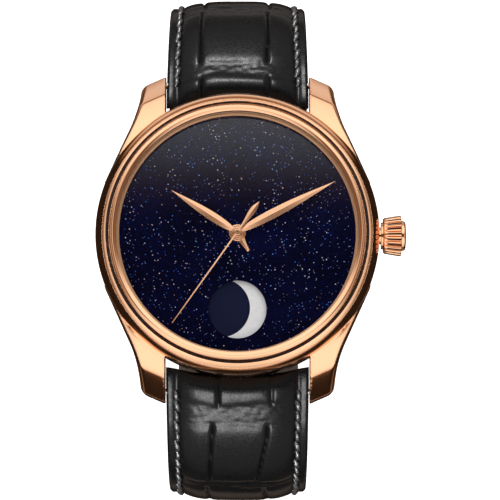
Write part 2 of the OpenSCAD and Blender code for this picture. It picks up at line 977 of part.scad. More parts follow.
jewel_share = 0.0324;
pivot_share = 0.0059;
pillar_share = 0.0588;
jewel_r = movement_r * jewel_share;
jewel_t = 0.3;
pivot_r = movement_r * pivot_share;
pivot_gap = 0.02;
jewel_bore_r = pivot_r + pivot_gap;
pin_share = 0.0118;
pin_r = movement_r * pin_share;
pin_depth = 0.5;
post_share = 0.0206;
post_r = movement_r * post_share;
train_places = [great_at, third_at, escape_at];
pillar_r = movement_r * pillar_share;

// Pillars near the plate's edge: share of the movement's radius, and angle
pillar_reach_share = 0.888;
low_pillar_share = 0.865;
cock_shares = [0.27, -0.8];
pallet_pillar_share = 0.112;
barrel_pillars = [
  polar(movement_r * pillar_reach_share, 98),
  polar(movement_r * pillar_reach_share, 24)
];
train_pillars = [
  polar(movement_r * low_pillar_share, 152),
  polar(movement_r * low_pillar_share, 190)
];
cock_pillar = movement_r * cock_shares;
pallet_turn = 330;
pallet_post_reach = movement_r * pallet_pillar_share;
pallet_posts = [for (side = [-1, 1]) pallet_at + side * polar(pallet_post_reach, pallet_turn)];

module movement_holder() {
  color("#b9bcc2")
    in_head()
      difference() {
        ring(movement_r + run_fit, cavity_r - run_fit, holder_floor, -dial_t);
        translate([0, 0, stem_z]) along_x(movement_r - cut, case_r, tube_r + seat_gap);
      }
}

module mainplate() {
  color("#c9c9cc")
    in_head()
      difference() {
        union() {
          rod(movement_r, plate_floor, plate_top);
          ring(ledge_r, movement_r, plate_top, disc_z - disc_gap);
          ring(movement_r - rim_w, movement_r, plate_top, -dial_t);
        }
        rod(cannon_r + seat_gap, plate_floor - cut, plate_top + cut);
        for (p = concat(train_places, [balance_at, pallet_at]))
          at(p) rod(jewel_r, plate_floor - cut, plate_floor + jewel_t + seat_gap);
        for (p = [minute_at, idler_at, moon_wheel_at])
          at(p) rod(pin_r + run_fit, plate_top - pin_depth - seat_gap, plate_top + cut);
        for (p = [barrel_at, lever_at])
          at(p) rod(post_r, plate_floor - cut, plate_top + cut);
        translate([window_x[0], -winding_r - window_gap, plate_floor - cut])
          cube([window_x[1] - window_x[0], 2 * (winding_r + window_gap), plate_t + 2 * cut]);
        translate([0, 0, stem_z])
          along_x(stem_tip_x - seat_gap, movement_r + cut, stem_r + run_fit);
      }
}

module pillar(p) {
  at(p) rod(pillar_r, bridge_top, plate_floor);
}

module half_plane(n, d) {
  rotate(n) translate([d, -case_r]) square([case_r, case_d]);
}

bridge_dir = 30;
barrel_edge_share = 0.182;
train_edge_share = 0.159;
bridge_inset = 0.4;

module bridge_plate() {
  translate([0, 0, bridge_floor]) linear_extrude(bridge_t) children();
}

module bridge_disc() {
  circle(r = movement_r - bridge_inset);
}

module barrel_bridge() {
  color("#d4d4d8")
    in_head()
      difference() {
        union() {
          bridge_plate()
            intersection() {
              bridge_disc();
              half_plane(bridge_dir, movement_r * barrel_edge_share);
            }
          for (p = barrel_pillars) pillar(p);
        }
        at(barrel_at) rod(arbor_square_r + run_fit, bridge_floor - cut, bridge_top + cut);
        at(crown_wheel_at) rod(crown_post_r + run_fit, bridge_floor - cut, bridge_top + cut);
        at(click_at) rod(post_r, bridge_floor - cut, bridge_top + cut);
        for (p = barrel_pillars) screw_hole(p);
      }
}

module screw_hole(p) {
  at(p) rod(screw_r + run_fit, bridge_floor - cut, bridge_floor + screw_len + seat_gap);
}

module train_bridge() {
  balance_room = 0.9;
  foot_line = movement_r * 0.376;
  color("#d4d4d8")
    in_head()
      difference() {
        union() {
          bridge_plate()
            intersection() {
              bridge_disc();
              difference() {
                rotate(180) half_plane(bridge_dir, -movement_r * train_edge_share);
                translate(balance_at) circle(r = balance_r + balance_room);
                translate([-case_r, -case_d - foot_line]) square(case_d);
              }
            }
          for (p = train_pillars) pillar(p);
        }
        for (p = concat(train_places, [centre]))
          at(p) rod(jewel_r, bridge_floor - cut, bridge_top + cut);
        for (p = train_pillars) screw_hole(p);
      }
}

// The foot of the balance cock: its corner and size, and where its arm starts
cock_foot_shares = [0.035, -1];
cock_size_shares = [0.441, 0.376];
cock_root_shares = [0.235, -0.735];
cock_arm_share = 0.141;
cock_end_share = 0.112;

module balance_cock() {
  root = movement_r * cock_root_shares;
  arm_w = movement_r * cock_arm_share;
  color("#d4d4d8")
    in_head()
      difference() {
        union() {
          bridge_plate() {
            intersection() {
              bridge_disc();
              translate(movement_r * cock_foot_shares) square(movement_r * cock_size_shares);
            }
            translate(balance_at)
              rotate(heading(balance_at, root))
                translate([0, -arm_w / 2])
                  square([norm(root - balance_at), arm_w]);
            translate(balance_at) circle(r = movement_r * cock_end_share);
          }
          pillar(cock_pillar);
        }
        at(balance_at) rod(jewel_r, bridge_floor - cut, bridge_top + cut);
        screw_hole(cock_pillar);
      }
}

module pallet_bridge() {
  bar_t = 0.3;
  bar_half_share = 0.144;
  bar_w_share = 0.07;
  post_share = 0.0235;
  bar_half = movement_r * bar_half_share;
  bar_w = movement_r * bar_w_share;
  color("#d4d4d8")
    in_head()
      difference() {
        union() {
          at(pallet_at)
            rotate([0, 0, pallet_turn])
              translate([-bar_half, -bar_w / 2, pallet_bar_z])
                cube([2 * bar_half, bar_w, bar_t]);
          for (p = pallet_posts) at(p) rod(movement_r * post_share, pallet_bar_z + bar_t / 2, plate_floor);
        }
        at(pallet_at) rod(pivot_r + run_fit, pallet_bar_z - cut, pallet_bar_z + bar_t + cut);
      }
}

module jewels() {
  color("#c8305a")
    in_head() {
      for (p = concat(train_places, [balance_at, pallet_at]))
        at(p) ring(jewel_bore_r, jewel_r, plate_floor, plate_floor + jewel_t);
      for (p = concat(train_places, [balance_at, centre]))
        at(p) ring(jewel_bore_r, jewel_r, bridge_floor, bridge_floor + jewel_t);
    }
}

screw_share = 0.0206;
screw_head_share = 0.047;
screw_r = movement_r * screw_share;
screw_head_r = movement_r * screw_head_share;
screw_head_h = 0.22;
screw_len = 1.2;
bridge_screw_places = concat(barrel_pillars, train_pillars, [cock_pillar]);

module bridge_screws() {
  slot_w = 0.18;
  color("#9fb2d8")
    in_head()
      for (p = bridge_screw_places)
        at(p)
          difference() {
            union() {
              rod(screw_head_r, bridge_floor - screw_head_h, bridge_floor);
              rod(screw_r, bridge_floor - screw_head_h, bridge_floor + screw_len);
            }
            translate([-screw_head_r, -slot_w / 2, bridge_floor - screw_head_h - cut])
              cube([2 * screw_head_r, slot_w, screw_head_h / 2 + cut]);
          }
}

// Going train, from the barrel to the balance

drum_shares = [0.357, 0.929];
drum_floor = train_z(drum_shares[0]);
drum_top = train_z(drum_shares[1]);
drum_wall = 0.3;
drum_teeth_t = 0.35;
drum_step = 0.1;
cover_t = 0.15;
drum_r = barrel_m * (barrel_teeth / 2 - dedendum_share);
arbor_share = 0.0147;
arbor_square_share = 0.0353;
arbor_core_share = 0.0706;
arbor_tip_share = 0.0176;
crown_post_share = 0.0294;
arbor_r = movement_r * arbor_share;
arbor_square_r = movement_r * arbor_square_share;
arbor_core_r = movement_r * arbor_core_share;
crown_post_r = movement_r * crown_post_share;

module barrel_drum() {
  bore_r = arbor_square_r + run_fit;
  color("#cfae62")
    in_head()
      at(barrel_at)
        difference() {
          union() {
            gear(barrel_teeth, barrel_m, heading(barrel_at, great_at), drum_top - drum_teeth_t, drum_top);
            rod(drum_r, drum_floor + cover_t, drum_top - drum_step);
          }
          rod(drum_r - drum_wall, drum_floor - cut, drum_top - drum_wall);
          rod(bore_r, drum_floor - cut, drum_top + cut);
        }
}

module barrel_cover() {
  color("#cfae62")
    in_head() at(barrel_at) ring(arbor_square_r + run_fit, drum_r, drum_floor, drum_floor + cover_t);
}

// Flat spiral strip, from a formula
function spiral_points(r_from, r_to, turns, steps) =
  [for (i = [0:steps]) polar(r_from + (r_to - r_from) * i / steps, 360 * turns * i / steps)];
module spiral(r_from, r_to, turns, steps, strip) {
  inner = spiral_points(r_from, r_to, turns, steps);
  outer = spiral_points(r_from + strip, r_to + strip, turns, steps);
  polygon(concat(inner, [for (i = [steps:-1:0]) outer[i]]));
}

module mainspring() {
  spring_turns = 7;
  spring_steps = 18;
  strip_share = 0.0082;
  inner_share = 0.088;
  strip = movement_r * strip_share;
  low = drum_floor + cover_t + drum_step;
  color("#8f98a3")
    in_head()
      at(barrel_at)
        translate([0, 0, low])
          linear_extrude(drum_top - drum_wall - drum_step - low)
            spiral(movement_r * inner_share, drum_r - drum_wall - strip - seat_gap,
              spring_turns, spring_turns * spring_steps, strip);
}

// Wheels on the back of the bridges
back_wheel_t = 0.25;
back_wheel_top = bridge_floor - run_fit;
back_wheel_low = back_wheel_top - back_wheel_t;

module barrel_arbor() {
  color("#b9bcc2")
    in_head()
      at(barrel_at) {
        rod(arbor_core_r, drum_floor + cover_t + drum_step, drum_top - drum_wall - drum_step);
        rod(arbor_square_r, back_wheel_low, drum_top + drum_step);
        rod(movement_r * arbor_tip_share, drum_top, plate_top - seat_gap);
      }
}

module ratchet_wheel() {
  color("#b9bcc2")
    in_head()
      at(barrel_at)
        difference() {
          gear(ratchet_teeth, winding_m, heading(barrel_at, crown_wheel_at),
            back_wheel_low, back_wheel_top);
          rod(arbor_square_r, back_wheel_low - cut, back_wheel_top + cut);
        }
}

module crown_wheel() {
  face_m_share = 0.00765;
  post_rise = 0.2;
  color("#b9bcc2")
    in_head()
      at(crown_wheel_at) {
        gear(crown_wheel_teeth, winding_m, driven(barrel_at, crown_wheel_at, crown_wheel_teeth),
          back_wheel_low, back_wheel_top);
        rod(crown_post_r, back_wheel_low + back_wheel_t / 2, bridge_top + post_rise);
        gear(crown_wheel_teeth, movement_r * face_m_share, 0,
          bridge_top + post_rise / 2, bridge_top + crown_teeth_h);
      }
}

module click() {
  head_share = 0.0294;
  beak_share = 0.0588;
  beak_w_share = 0.0412;
  beak_w = movement_r * beak_w_share;
  color("#b9bcc2")
    in_head()
      at(click_at)
        rotate([0, 0, heading(click_at, barrel_at)]) {
          rod(movement_r * head_share, back_wheel_low, back_wheel_top);
          rod(post_r - run_fit, back_wheel_top - back_wheel_t / 2, bridge_top - seat_gap);
          translate([0, -beak_w / 2, back_wheel_low])
            cube([movement_r * beak_share, beak_w, back_wheel_t]);
        }
}

module setting_lever() {
  head_share = 0.0353;
  arm_share = 0.0588;
  arm_over_share = 0.0235;
  finger_share = 0.0147;
  arm_w = movement_r * arm_share;
  arm_len = lever_at[1] + movement_r * arm_over_share;
  low = plate_top + run_fit;
  color("#b9bcc2")
    in_head()
      at(lever_at) {
        rod(movement_r * head_share, low, low + disc_t);
        rod(post_r - run_fit, plate_top - pin_depth, low + disc_t / 2);
        translate([-arm_w / 2, -arm_len, low]) cube([arm_w, arm_len, disc_t]);
        at([0, -lever_at[1]])
          rod(movement_r * finger_share, stem_z + groove_floor_r + run_fit, low + disc_t / 2);
      }
}

// An arbor's ends stop just short of the bridge and the plate, and its pivots run in their jewels
module arbor(r) {
  rod(r, bridge_top + seat_gap, plate_floor - run_fit);
  rod(pivot_r, bridge_floor + run_fit, plate_floor + jewel_t);
}

// A wheel or pinion of the train; its shares give its two faces in the room between the plates
module train_gear(teeth, m, phase, shares) {
  gear(teeth, m, phase, train_z(shares[0]), train_z(shares[1]));
}

module train_wheel(teeth, m, phase, shares) {
  crossed_wheel(teeth, m, phase, train_z(shares[0]), train_z(shares[1]), 5);
}

great_pinion_shares = [0.752, 0.943];
great_shares = [0.19, 0.262];
third_pinion_shares = [0.143, 0.333];
third_shares = [0.667, 0.738];
fourth_pinion_shares = [0.595, 0.81];
fourth_shares = [0.429, 0.5];
escape_pinion_shares = [0.381, 0.571];
escape_shares = [0.829, 0.886];
pallet_shares = [0.819, 0.886];
pallet_bar_share = 0.571;
pallet_bar_z = train_z(pallet_bar_share);

module great_wheel() {
  color("#cfae62")
    in_head()
      at(great_at) {
        train_gear(great_pinion, barrel_m, driven(barrel_at, great_at, great_pinion), great_pinion_shares);
        train_wheel(great_teeth, great_m, heading(great_at, third_at), great_shares);
        arbor(arbor_r);
      }
}

module third_wheel() {
  color("#cfae62")
    in_head()
      at(third_at) {
        train_gear(third_pinion, great_m, driven(great_at, third_at, third_pinion), third_pinion_shares);
        train_wheel(third_teeth, third_m, heading(third_at, centre), third_shares);
        arbor(arbor_r);
      }
}

module fourth_wheel() {
  color("#cfae62")
    in_head() {
      train_gear(fourth_pinion, third_m, driven(third_at, centre, fourth_pinion), fourth_pinion_shares);
      train_wheel(fourth_teeth, fourth_m, heading(centre, escape_at), fourth_shares);
      rod(arbor_r, bridge_top + seat_gap, plate_floor - run_fit);
      rod(pivot_r, bridge_floor + run_fit, bridge_top + seat_gap);
      rod(second_r, plate_floor - run_fit, second_z + hand_t + hub_rise);
    }
}

module escape_wheel() {
  hook_shares = [0, 0.35, 0.5];
  depth_share = 0.78;
  rim_share = 0.62;
  rim_in_r = escape_r * rim_share;
  spoke_w = escape_r / 10;
  color("#cfae62")
    in_head()
      at(escape_at) {
        train_gear(escape_pinion, fourth_m, driven(centre, escape_at, escape_pinion), escape_pinion_shares);
        translate([0, 0, train_z(escape_shares[0])])
          linear_extrude(train_z(escape_shares[1]) - train_z(escape_shares[0]))
            difference() {
              polygon([
                for (i = [0:escape_teeth - 1], k = [0:2])
                  polar(k == 1 ? escape_r : escape_r * depth_share,
                    (i + hook_shares[k]) * 360 / escape_teeth)
              ]);
              difference() {
                circle(r = rim_in_r);
                circle(r = rim_in_r / 3);
                for (i = [0:3])
                  rotate(i * 90) translate([0, -spoke_w / 2]) square([escape_r / 1.5, spoke_w]);
              }
            }
        arbor(arbor_r);
      }
}

// The pallet fork, as shares of its length from the pivot to the end of its horns
fork_dir = heading(pallet_at, escape_at);
fork_len_share = 0.212;
fork_len = movement_r * fork_len_share;
fork_shares = [
  [-0.083, -0.347], [0.056, -0.347], [0.083, 0], [0.056, 0.347], [-0.083, 0.347], [-0.097, 0.056],
  [-0.861, 0.039], [-0.944, 0.111], [-1, 0.111], [-1, -0.111], [-0.944, -0.111], [-0.861, -0.039],
  [-0.097, -0.056]
];
notch_share = 0.089;
fork_hub_share = 0.125;
stone_shares = [0.097, 0.067];
stone_at_share = 0.3;

module pallet_fork() {
  notch_w = fork_len * notch_share;
  staff_share = 0.7;
  color("#b9bcc2")
    in_head()
      at(pallet_at)
        rotate([0, 0, fork_dir]) {
          translate([0, 0, train_z(pallet_shares[0])])
            linear_extrude(train_z(pallet_shares[1]) - train_z(pallet_shares[0]))
              difference() {
                union() {
                  polygon(fork_len * fork_shares);
                  circle(r = fork_len * fork_hub_share);
                }
                translate([-fork_len - notch_w, -notch_w / 2]) square([notch_w * 2, notch_w]);
              }
          rod(arbor_r * staff_share, train_z(pallet_shares[0]) - drum_wall, plate_floor - run_fit);
          rod(pivot_r, pallet_bar_z + run_fit / 2, plate_floor + jewel_t);
        }
}

module pallet_stones() {
  stone = fork_len * stone_shares;
  color("#c8305a")
    in_head()
      at(pallet_at)
        rotate([0, 0, fork_dir])
          for (side = [-1, 1])
            translate([fork_len * fork_shares[1][0], side * fork_len * stone_at_share - stone[1] / 2,
              train_z(pallet_shares[0])])
              cube([stone[0], stone[1], train_z(pallet_shares[1]) - train_z(pallet_shares[0])]);
}

balance_share = 0.2706;
balance_r = movement_r * balance_share;
balance_rim_shares = [0.262, 0.476];
balance_arm_shares = [0.333, 0.429];
balance_hub_shares = [0.19, 0.452];
roller_shares = [0.571, 0.643];
roller_pin_shares = [0.619, 0.762];
spring_shares = [0.0714, 0.167];
collet_r_share = 0.14;

module balance_wheel() {
  rim_share = 0.109;
  arm_w_share = 0.087;
  hub_r_share = 0.12;
  roller_r_share = 0.24;
  pin_reach_share = 0.174;
  pin_r_share = 0.0217;
  wheel_rim_w = balance_r * rim_share;
  color("#cfae62")
    in_head()
      at(balance_at) {
        ring(balance_r - wheel_rim_w, balance_r,
          train_z(balance_rim_shares[0]), train_z(balance_rim_shares[1]));
        spokes(3, 0, balance_r - wheel_rim_w / 2, balance_r * arm_w_share,
          train_z(balance_arm_shares[0]), train_z(balance_arm_shares[1]));
        rod(balance_r * hub_r_share, train_z(balance_hub_shares[0]), train_z(balance_hub_shares[1]));
        rod(balance_r * roller_r_share, train_z(roller_shares[0]), train_z(roller_shares[1]));
        at([balance_r * pin_reach_share, 0])
          rod(balance_r * pin_r_share, train_z(roller_pin_shares[0]), train_z(roller_pin_shares[1]));
        arbor(pin_r);
      }
}

module hairspring() {
  spring_turns = 9;
  spring_steps = 18;
  strip_share = 0.0152;
  inner_share = 0.135;
  outer_share = 0.587;
  low = train_z(spring_shares[0]);
  high = train_z(spring_shares[1]);
  color("#8f98a3")
    in_head()
      at(balance_at) {
        translate([0, 0, low])
          linear_extrude(high - low)
            spiral(balance_r * inner_share, balance_r * outer_share, spring_turns,
              spring_turns * spring_steps, balance_r * strip_share);
        ring(pin_r + pivot_gap, balance_r * collet_r_share, low, high);
      }
}

// Strap

module spring_bars() {
  color("#b9bcc2")
    in_head()
      for (side = [-1, 1])
        translate([0, side * bar_y, bar_z]) {
          along_x(-lug_inner_x + seat_gap, lug_inner_x - seat_gap, bar_r);
          along_x(-lug_inner_x - bar_tip_len, lug_inner_x + bar_tip_len, bar_tip_r);
        }
}

// Cross-section of the upper leather, from its lower edge round the crowned top:
// shares of the half width across, and of the half thickness outwards
crown_shares = [
  [1, 0.3], [0.85, 0.42], [0.76, 0.86], [0.62, 1], [-0.62, 1], [-0.76, 0.86], [-0.85, 0.42], [-1, 0.3]
];
taper_share = 0.8;
pad_share = 0.94;

function taper(s, full) = min(1, s / full);
function half_width(s, full) = (strap_w + (strap_end_w - strap_w) * taper(s, full)) / 2;
function half_thick(s, full) =
  (strap_t * pad_share
    + (strap_end_t - strap_t * pad_share) * pow(taper(s, full - tail_flat), taper_share)) / 2;
function split(s, full) = lining_t - half_thick(s, full);
function upper_section(s, full) = concat(
  [[-1, split(s, full)], [1, split(s, full)]],
  [for (p = crown_shares) [p[0], p[1] * half_thick(s, full)]]
);
function lining_section(s, full) = [
  [-1, -half_thick(s, full)], [1, -half_thick(s, full)], [1, split(s, full)], [-1, split(s, full)]
];
function section(layer, s, full) = layer == "upper" ? upper_section(s, full) : lining_section(s, full);

// One closed sweep along a route; both layers use the same rings
module strap_sweep(route, first_ring, last_ring, full, layer) {
  steps = last_ring - first_ring;
  n = len(section(layer, 0, full));
  points = [
    for (i = [first_ring:last_ring])
      let (
        s = full * i / strap_rings,
        c = along(route, s),
        ring = section(layer, s, full)
      )
      for (p = ring)
        [p[0] * half_width(s, full), c[0] - p[1] * sin(c[2]), c[1] + p[1] * cos(c[2])]
  ];
  polyhedron(
    points = points,
    faces = concat(
      [[for (k = [n - 1:-1:0]) k]],
      [[for (k = [0:n - 1]) steps * n + k]],
      [for (i = [0:steps - 1], k = [0:n - 1])
        let (a = i * n + k, b = i * n + (k + 1) % n)
        each [[a, b, a + n], [b, b + n, a + n]]]
    ),
    convexity = 6
  );
}

// Moves a shape drawn along +Y, with +Z outwards, to a place on a route
module on_route(route, s) {
  c = along(route, s);
  translate([0, c[0], c[1]]) rotate([c[2], 0, 0]) children();
}

// The round end that holds the spring bar, and its two corners beside the case
module strap_root() {
  root_half = strap_w / 2 + run_fit;
  horn_x = root_half - horn_len;
  along_x(-root_half, root_half, roll_r);
  for (side = [0, 1])
    mirror([side, 0, 0])
      intersection() {
        translate([horn_x, 0, 0])
          rotate([0, 90, 0]) cylinder(h = horn_len, r1 = roll_r * horn_root_share, r2 = horn_r);
        translate([horn_x, -horn_r, -roll_r / 2]) cube([horn_len, horn_r, roll_r * horn_h_share]);
      }
}

function rings_past(s, full) = ceil(s * strap_rings / full);

module strap_upper(route, length) {
  difference() {
    union() {
      strap_sweep(route, 0, strap_rings, length, "upper");
      on_route(route, 0) strap_root();
    }
    on_route(route, 0) along_x(-case_r, case_r, bar_r + run_fit);
  }
}

module strap_buckle_half() {
  color("#171717")
    difference() {
      union() {
        strap_upper(buckle_route, buckle_len);
        on_route(buckle_route, buckle_len)
          along_x(-strap_end_w / 2 - run_fit, strap_end_w / 2 + run_fit, buckle_roll_r);
      }
      on_route(buckle_route, buckle_len) {
        along_x(-case_r, case_r, buckle_bar_r + run_fit);
        tang_slot();
      }
    }
}

module tang_slot() {
  translate([-tang_slot_w / 2, -tang_slot_len, -strap_t])
    cube([tang_slot_w, tang_slot_len + 2 * buckle_roll_r, 2 * strap_t]);
}

module strap_buckle_lining() {
  color("#2b2320")
    difference() {
      strap_sweep(buckle_route, rings_past(roll_r, buckle_len),
        strap_rings - rings_past(buckle_roll_r, buckle_len), buckle_len, "lining");
      on_route(buckle_route, buckle_len) tang_slot();
    }
}

module hole_places() {
  for (i = [0:holes - 1])
    on_route(tail_route, tail_len - first_hole - i * hole_step)
      rod(hole_d / 2, -strap_t, strap_t);
}

module tip_cut() {
  on_route(tail_route, tail_len)
    difference() {
      translate([-strap_w, -tip_r, -strap_t]) cube([2 * strap_w, tip_r + cut, 2 * strap_t]);
      at([0, -tip_r]) rod(tip_r, -strap_t - cut, strap_t + cut);
    }
}

module strap_hole_half() {
  color("#171717")
    mirror([0, 1, 0])
      difference() {
        strap_upper(tail_route, tail_len);
        hole_places();
        tip_cut();
      }
}

module strap_hole_lining() {
  color("#2b2320")
    mirror([0, 1, 0])
      difference() {
        strap_sweep(tail_route, rings_past(roll_r, tail_len), strap_rings, tail_len, "lining");
        hole_places();
        tip_cut();
      }
}

// A leather loop with its long side against the lining
module keeper(s) {
  half_w = half_width(s, buckle_len) + keeper_gap;
  low = -half_thick(s, buckle_len) - 2 * keeper_gap;
  on_route(buckle_route, s)
    translate([0, -keeper_w / 2, low])
      difference() {
        translate([-half_w - keeper_wall, 0, -keeper_wall])
          cube([2 * (half_w + keeper_wall), keeper_w, keeper_room + 2 * keeper_wall]);
        translate([-half_w, -cut, 0])
          cube([2 * half_w, keeper_w + 2 * cut, keeper_room]);
      }
}

module fixed_keeper() {
  color("#171717") keeper(buckle_len - fixed_keeper_at);
}

module loose_keeper() {
  color("#171717") keeper(buckle_len - loose_keeper_at);
}

module buckle_frame() {
  inner_x = frame_w / 2 - frame_arm_w;
  color("#e8b48c")
    on_route(buckle_route, buckle_len) {
      along_x(-inner_x - cut, inner_x + cut, buckle_bar_r);
      for (side = [-1, 1])
        translate([side * (inner_x + frame_arm_w / 2) - frame_arm_w / 2, 0, 0]) {
          along_x(0, frame_arm_w, frame_bar_r);
          translate([0, 0, -frame_bar_r * arm_h_share])
            cube([frame_arm_w, frame_reach, 2 * frame_bar_r * arm_h_share]);
        }
      translate([0, frame_reach, 0]) along_x(-frame_w / 2, frame_w / 2, frame_bar_r);
    }
}

module buckle_tang() {
  tip_share = 0.8;
  heel_share = 1.3;
  nose_share = 0.7;
  tip = frame_reach + frame_bar_r * tip_share;
  seat = frame_bar_r + run_fit;
  color("#e8b48c")
    on_route(buckle_route, buckle_len)
      difference() {
        union() {
          along_x(-tang_w / 2, tang_w / 2, tang_r);
          rotate([90, 0, 90])
            translate([0, 0, -tang_w / 2])
              linear_extrude(tang_w)
                polygon([
                  [tang_r / 4, -tang_r / 5], [frame_reach - frame_bar_r * heel_share, seat],
                  [tip, seat], [tip, seat + tang_h * nose_share],
                  [frame_reach, seat + tang_h], [0, tang_r]
                ]);
        }
        along_x(-tang_w, tang_w, buckle_bar_r + run_fit);
      }
}

case_middle();
bezel();
front_crystal();
crystal_gasket();
dial_ring();
caseback_ring();
back_crystal();
back_gasket();
caseback_screws();
crown();
crown_gasket();
crown_tube();
winding_stem();
winding_pinion();
dial();
moon_disc();
moon_shades();
moon_wheel();
hour_hand();
minute_hand();
seconds_hand();
day_night_hand();
hour_wheel();
day_night_wheel();
day_night_idler();
cannon_pinion();
minute_wheel();
movement_holder();
mainplate();
barrel_bridge();
train_bridge();
balance_cock();
pallet_bridge();
barrel_drum();
barrel_cover();
mainspring();
barrel_arbor();
ratchet_wheel();
crown_wheel();
click();
great_wheel();
third_wheel();
fourth_wheel();
escape_wheel();
pallet_fork();
pallet_stones();
balance_wheel();
hairspring();
jewels();
bridge_screws();
setting_lever();
spring_bars();
strap_buckle_half();
strap_hole_half();
strap_buckle_lining();
strap_hole_lining();
fixed_keeper();
loose_keeper();
buckle_frame();
buckle_tang();
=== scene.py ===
"""Looks of the moon phase watch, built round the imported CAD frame."""

import json
import math

import bmesh
import bpy
import numpy as np
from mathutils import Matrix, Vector

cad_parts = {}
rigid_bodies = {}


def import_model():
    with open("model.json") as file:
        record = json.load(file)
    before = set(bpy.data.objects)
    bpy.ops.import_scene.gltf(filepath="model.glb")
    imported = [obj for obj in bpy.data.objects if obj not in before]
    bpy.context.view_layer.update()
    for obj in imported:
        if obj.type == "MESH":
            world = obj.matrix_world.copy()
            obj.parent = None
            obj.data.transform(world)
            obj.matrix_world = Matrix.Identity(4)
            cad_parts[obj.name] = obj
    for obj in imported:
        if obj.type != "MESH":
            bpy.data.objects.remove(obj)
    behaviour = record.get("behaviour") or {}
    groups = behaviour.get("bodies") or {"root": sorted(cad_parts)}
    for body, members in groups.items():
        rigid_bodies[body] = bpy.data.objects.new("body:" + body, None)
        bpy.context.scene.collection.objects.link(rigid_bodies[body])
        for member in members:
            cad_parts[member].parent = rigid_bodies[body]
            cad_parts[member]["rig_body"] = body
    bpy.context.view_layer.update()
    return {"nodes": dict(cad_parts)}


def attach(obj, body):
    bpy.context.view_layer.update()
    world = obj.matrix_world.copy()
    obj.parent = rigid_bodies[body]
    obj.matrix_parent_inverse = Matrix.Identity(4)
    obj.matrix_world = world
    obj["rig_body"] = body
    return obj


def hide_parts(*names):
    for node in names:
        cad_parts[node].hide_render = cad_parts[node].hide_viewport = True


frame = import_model()

MM = 0.001
HEAD = 60.5  # height of the top of the dial above the floor
CASE_R = 21.0
BAR_Y, BAR_Z = 22.9, -6.9  # the spring bars, from the dial's centre and its top


# Meshes

def linked(name, data):
    """A new object in the scene."""
    obj = bpy.data.objects.new(name, data)
    bpy.context.scene.collection.objects.link(obj)
    return obj


def mesh_of(name, verts, faces):
    """A mesh from points in millimetres."""
    mesh = bpy.data.meshes.new(name)
    mesh.from_pydata((np.asarray(verts, float) * MM).tolist(), [], [list(map(int, f)) for f in faces])
    return mesh


def piece(name, mesh, material, body):
    """A smooth object of a mesh, which rides on a body."""
    mesh.materials.clear()
    mesh.materials.append(material)
    mesh.polygons.foreach_set("use_smooth", [True] * len(mesh.polygons))
    obj = linked(name, mesh)
    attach(obj, body)
    return obj


def new_object(name, verts, faces, material, body):
    mesh = mesh_of(name, verts, faces)
    mesh.validate()
    return piece(name, mesh, material, body)


def edit_mesh(mesh, change, source=None):
    """Lets change(bm) work on a mesh, or on its source, and writes the result into the mesh."""
    bm = bmesh.new()
    bm.from_mesh(source or mesh)
    change(bm)
    bm.to_mesh(mesh)
    bm.free()


def creases(bm, angle):
    """The edges whose two faces meet at more than an angle in degrees."""
    limit = math.radians(angle)
    return [e for e in bm.edges if len(e.link_faces) == 2 and e.calc_face_angle(0) > limit]


def sharpen(obj, angle):
    """Marks the edges above an angle as sharp, so that smooth faces keep crisp edges."""
    def mark(bm):
        for e in creases(bm, angle):
            e.smooth = False

    edit_mesh(obj.data, mark)


def outward(obj):
    """Makes all faces look outwards."""
    edit_mesh(obj.data, lambda bm: bmesh.ops.recalc_face_normals(bm, faces=bm.faces))


def solid(name, node, verts, faces, material, body, sharp=None):
    """A piece with its faces outward and its crisp edges marked, which stands for a CAD node, or for none."""
    obj = new_object(name, verts, faces, material, body)
    outward(obj)
    if sharp:
        sharpen(obj, sharp)
    if node:
        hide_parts(node)
    return obj


def grid_faces(rows, cols, close_rows=False, close_cols=False):
    faces = []
    for i in range(rows if close_rows else rows - 1):
        for j in range(cols if close_cols else cols - 1):
            a, b = i * cols + j, i * cols + (j + 1) % cols
            c = ((i + 1) % rows) * cols + (j + 1) % cols
            d = ((i + 1) % rows) * cols + j
            faces.append((a, b, c, d))
    return faces


def rounded(points, radius, steps, closed=True):
    """A polygon's corners turned into short arcs, by points of a quadratic curve."""
    pts = [np.array(p, float) for p in points]
    out = []
    n = len(pts)
    for i, p in enumerate(pts):
        if not closed and i in (0, n - 1):
            out.append(p)
            continue
        a, b = pts[i - 1], pts[(i + 1) % n]
        ra = min(radius, np.linalg.norm(a - p) / 2.1)
        rb = min(radius, np.linalg.norm(b - p) / 2.1)
        p0 = p + (a - p) / max(np.linalg.norm(a - p), 1e-9) * ra
        p1 = p + (b - p) / max(np.linalg.norm(b - p), 1e-9) * rb
        for k in range(steps + 1):
            t = k / steps
            out.append((1 - t) ** 2 * p0 + 2 * t * (1 - t) * p + t * t * p1)
    return out


def densified(points, step):
    """A line's points with more between them, about a step apart."""
    out = []
    for p, q in zip(points[:-1], points[1:]):
        n = max(1, int(np.linalg.norm(q - p) / step))
        out += [p + (q - p) * i / n for i in range(n)]
    return out + [points[-1]]


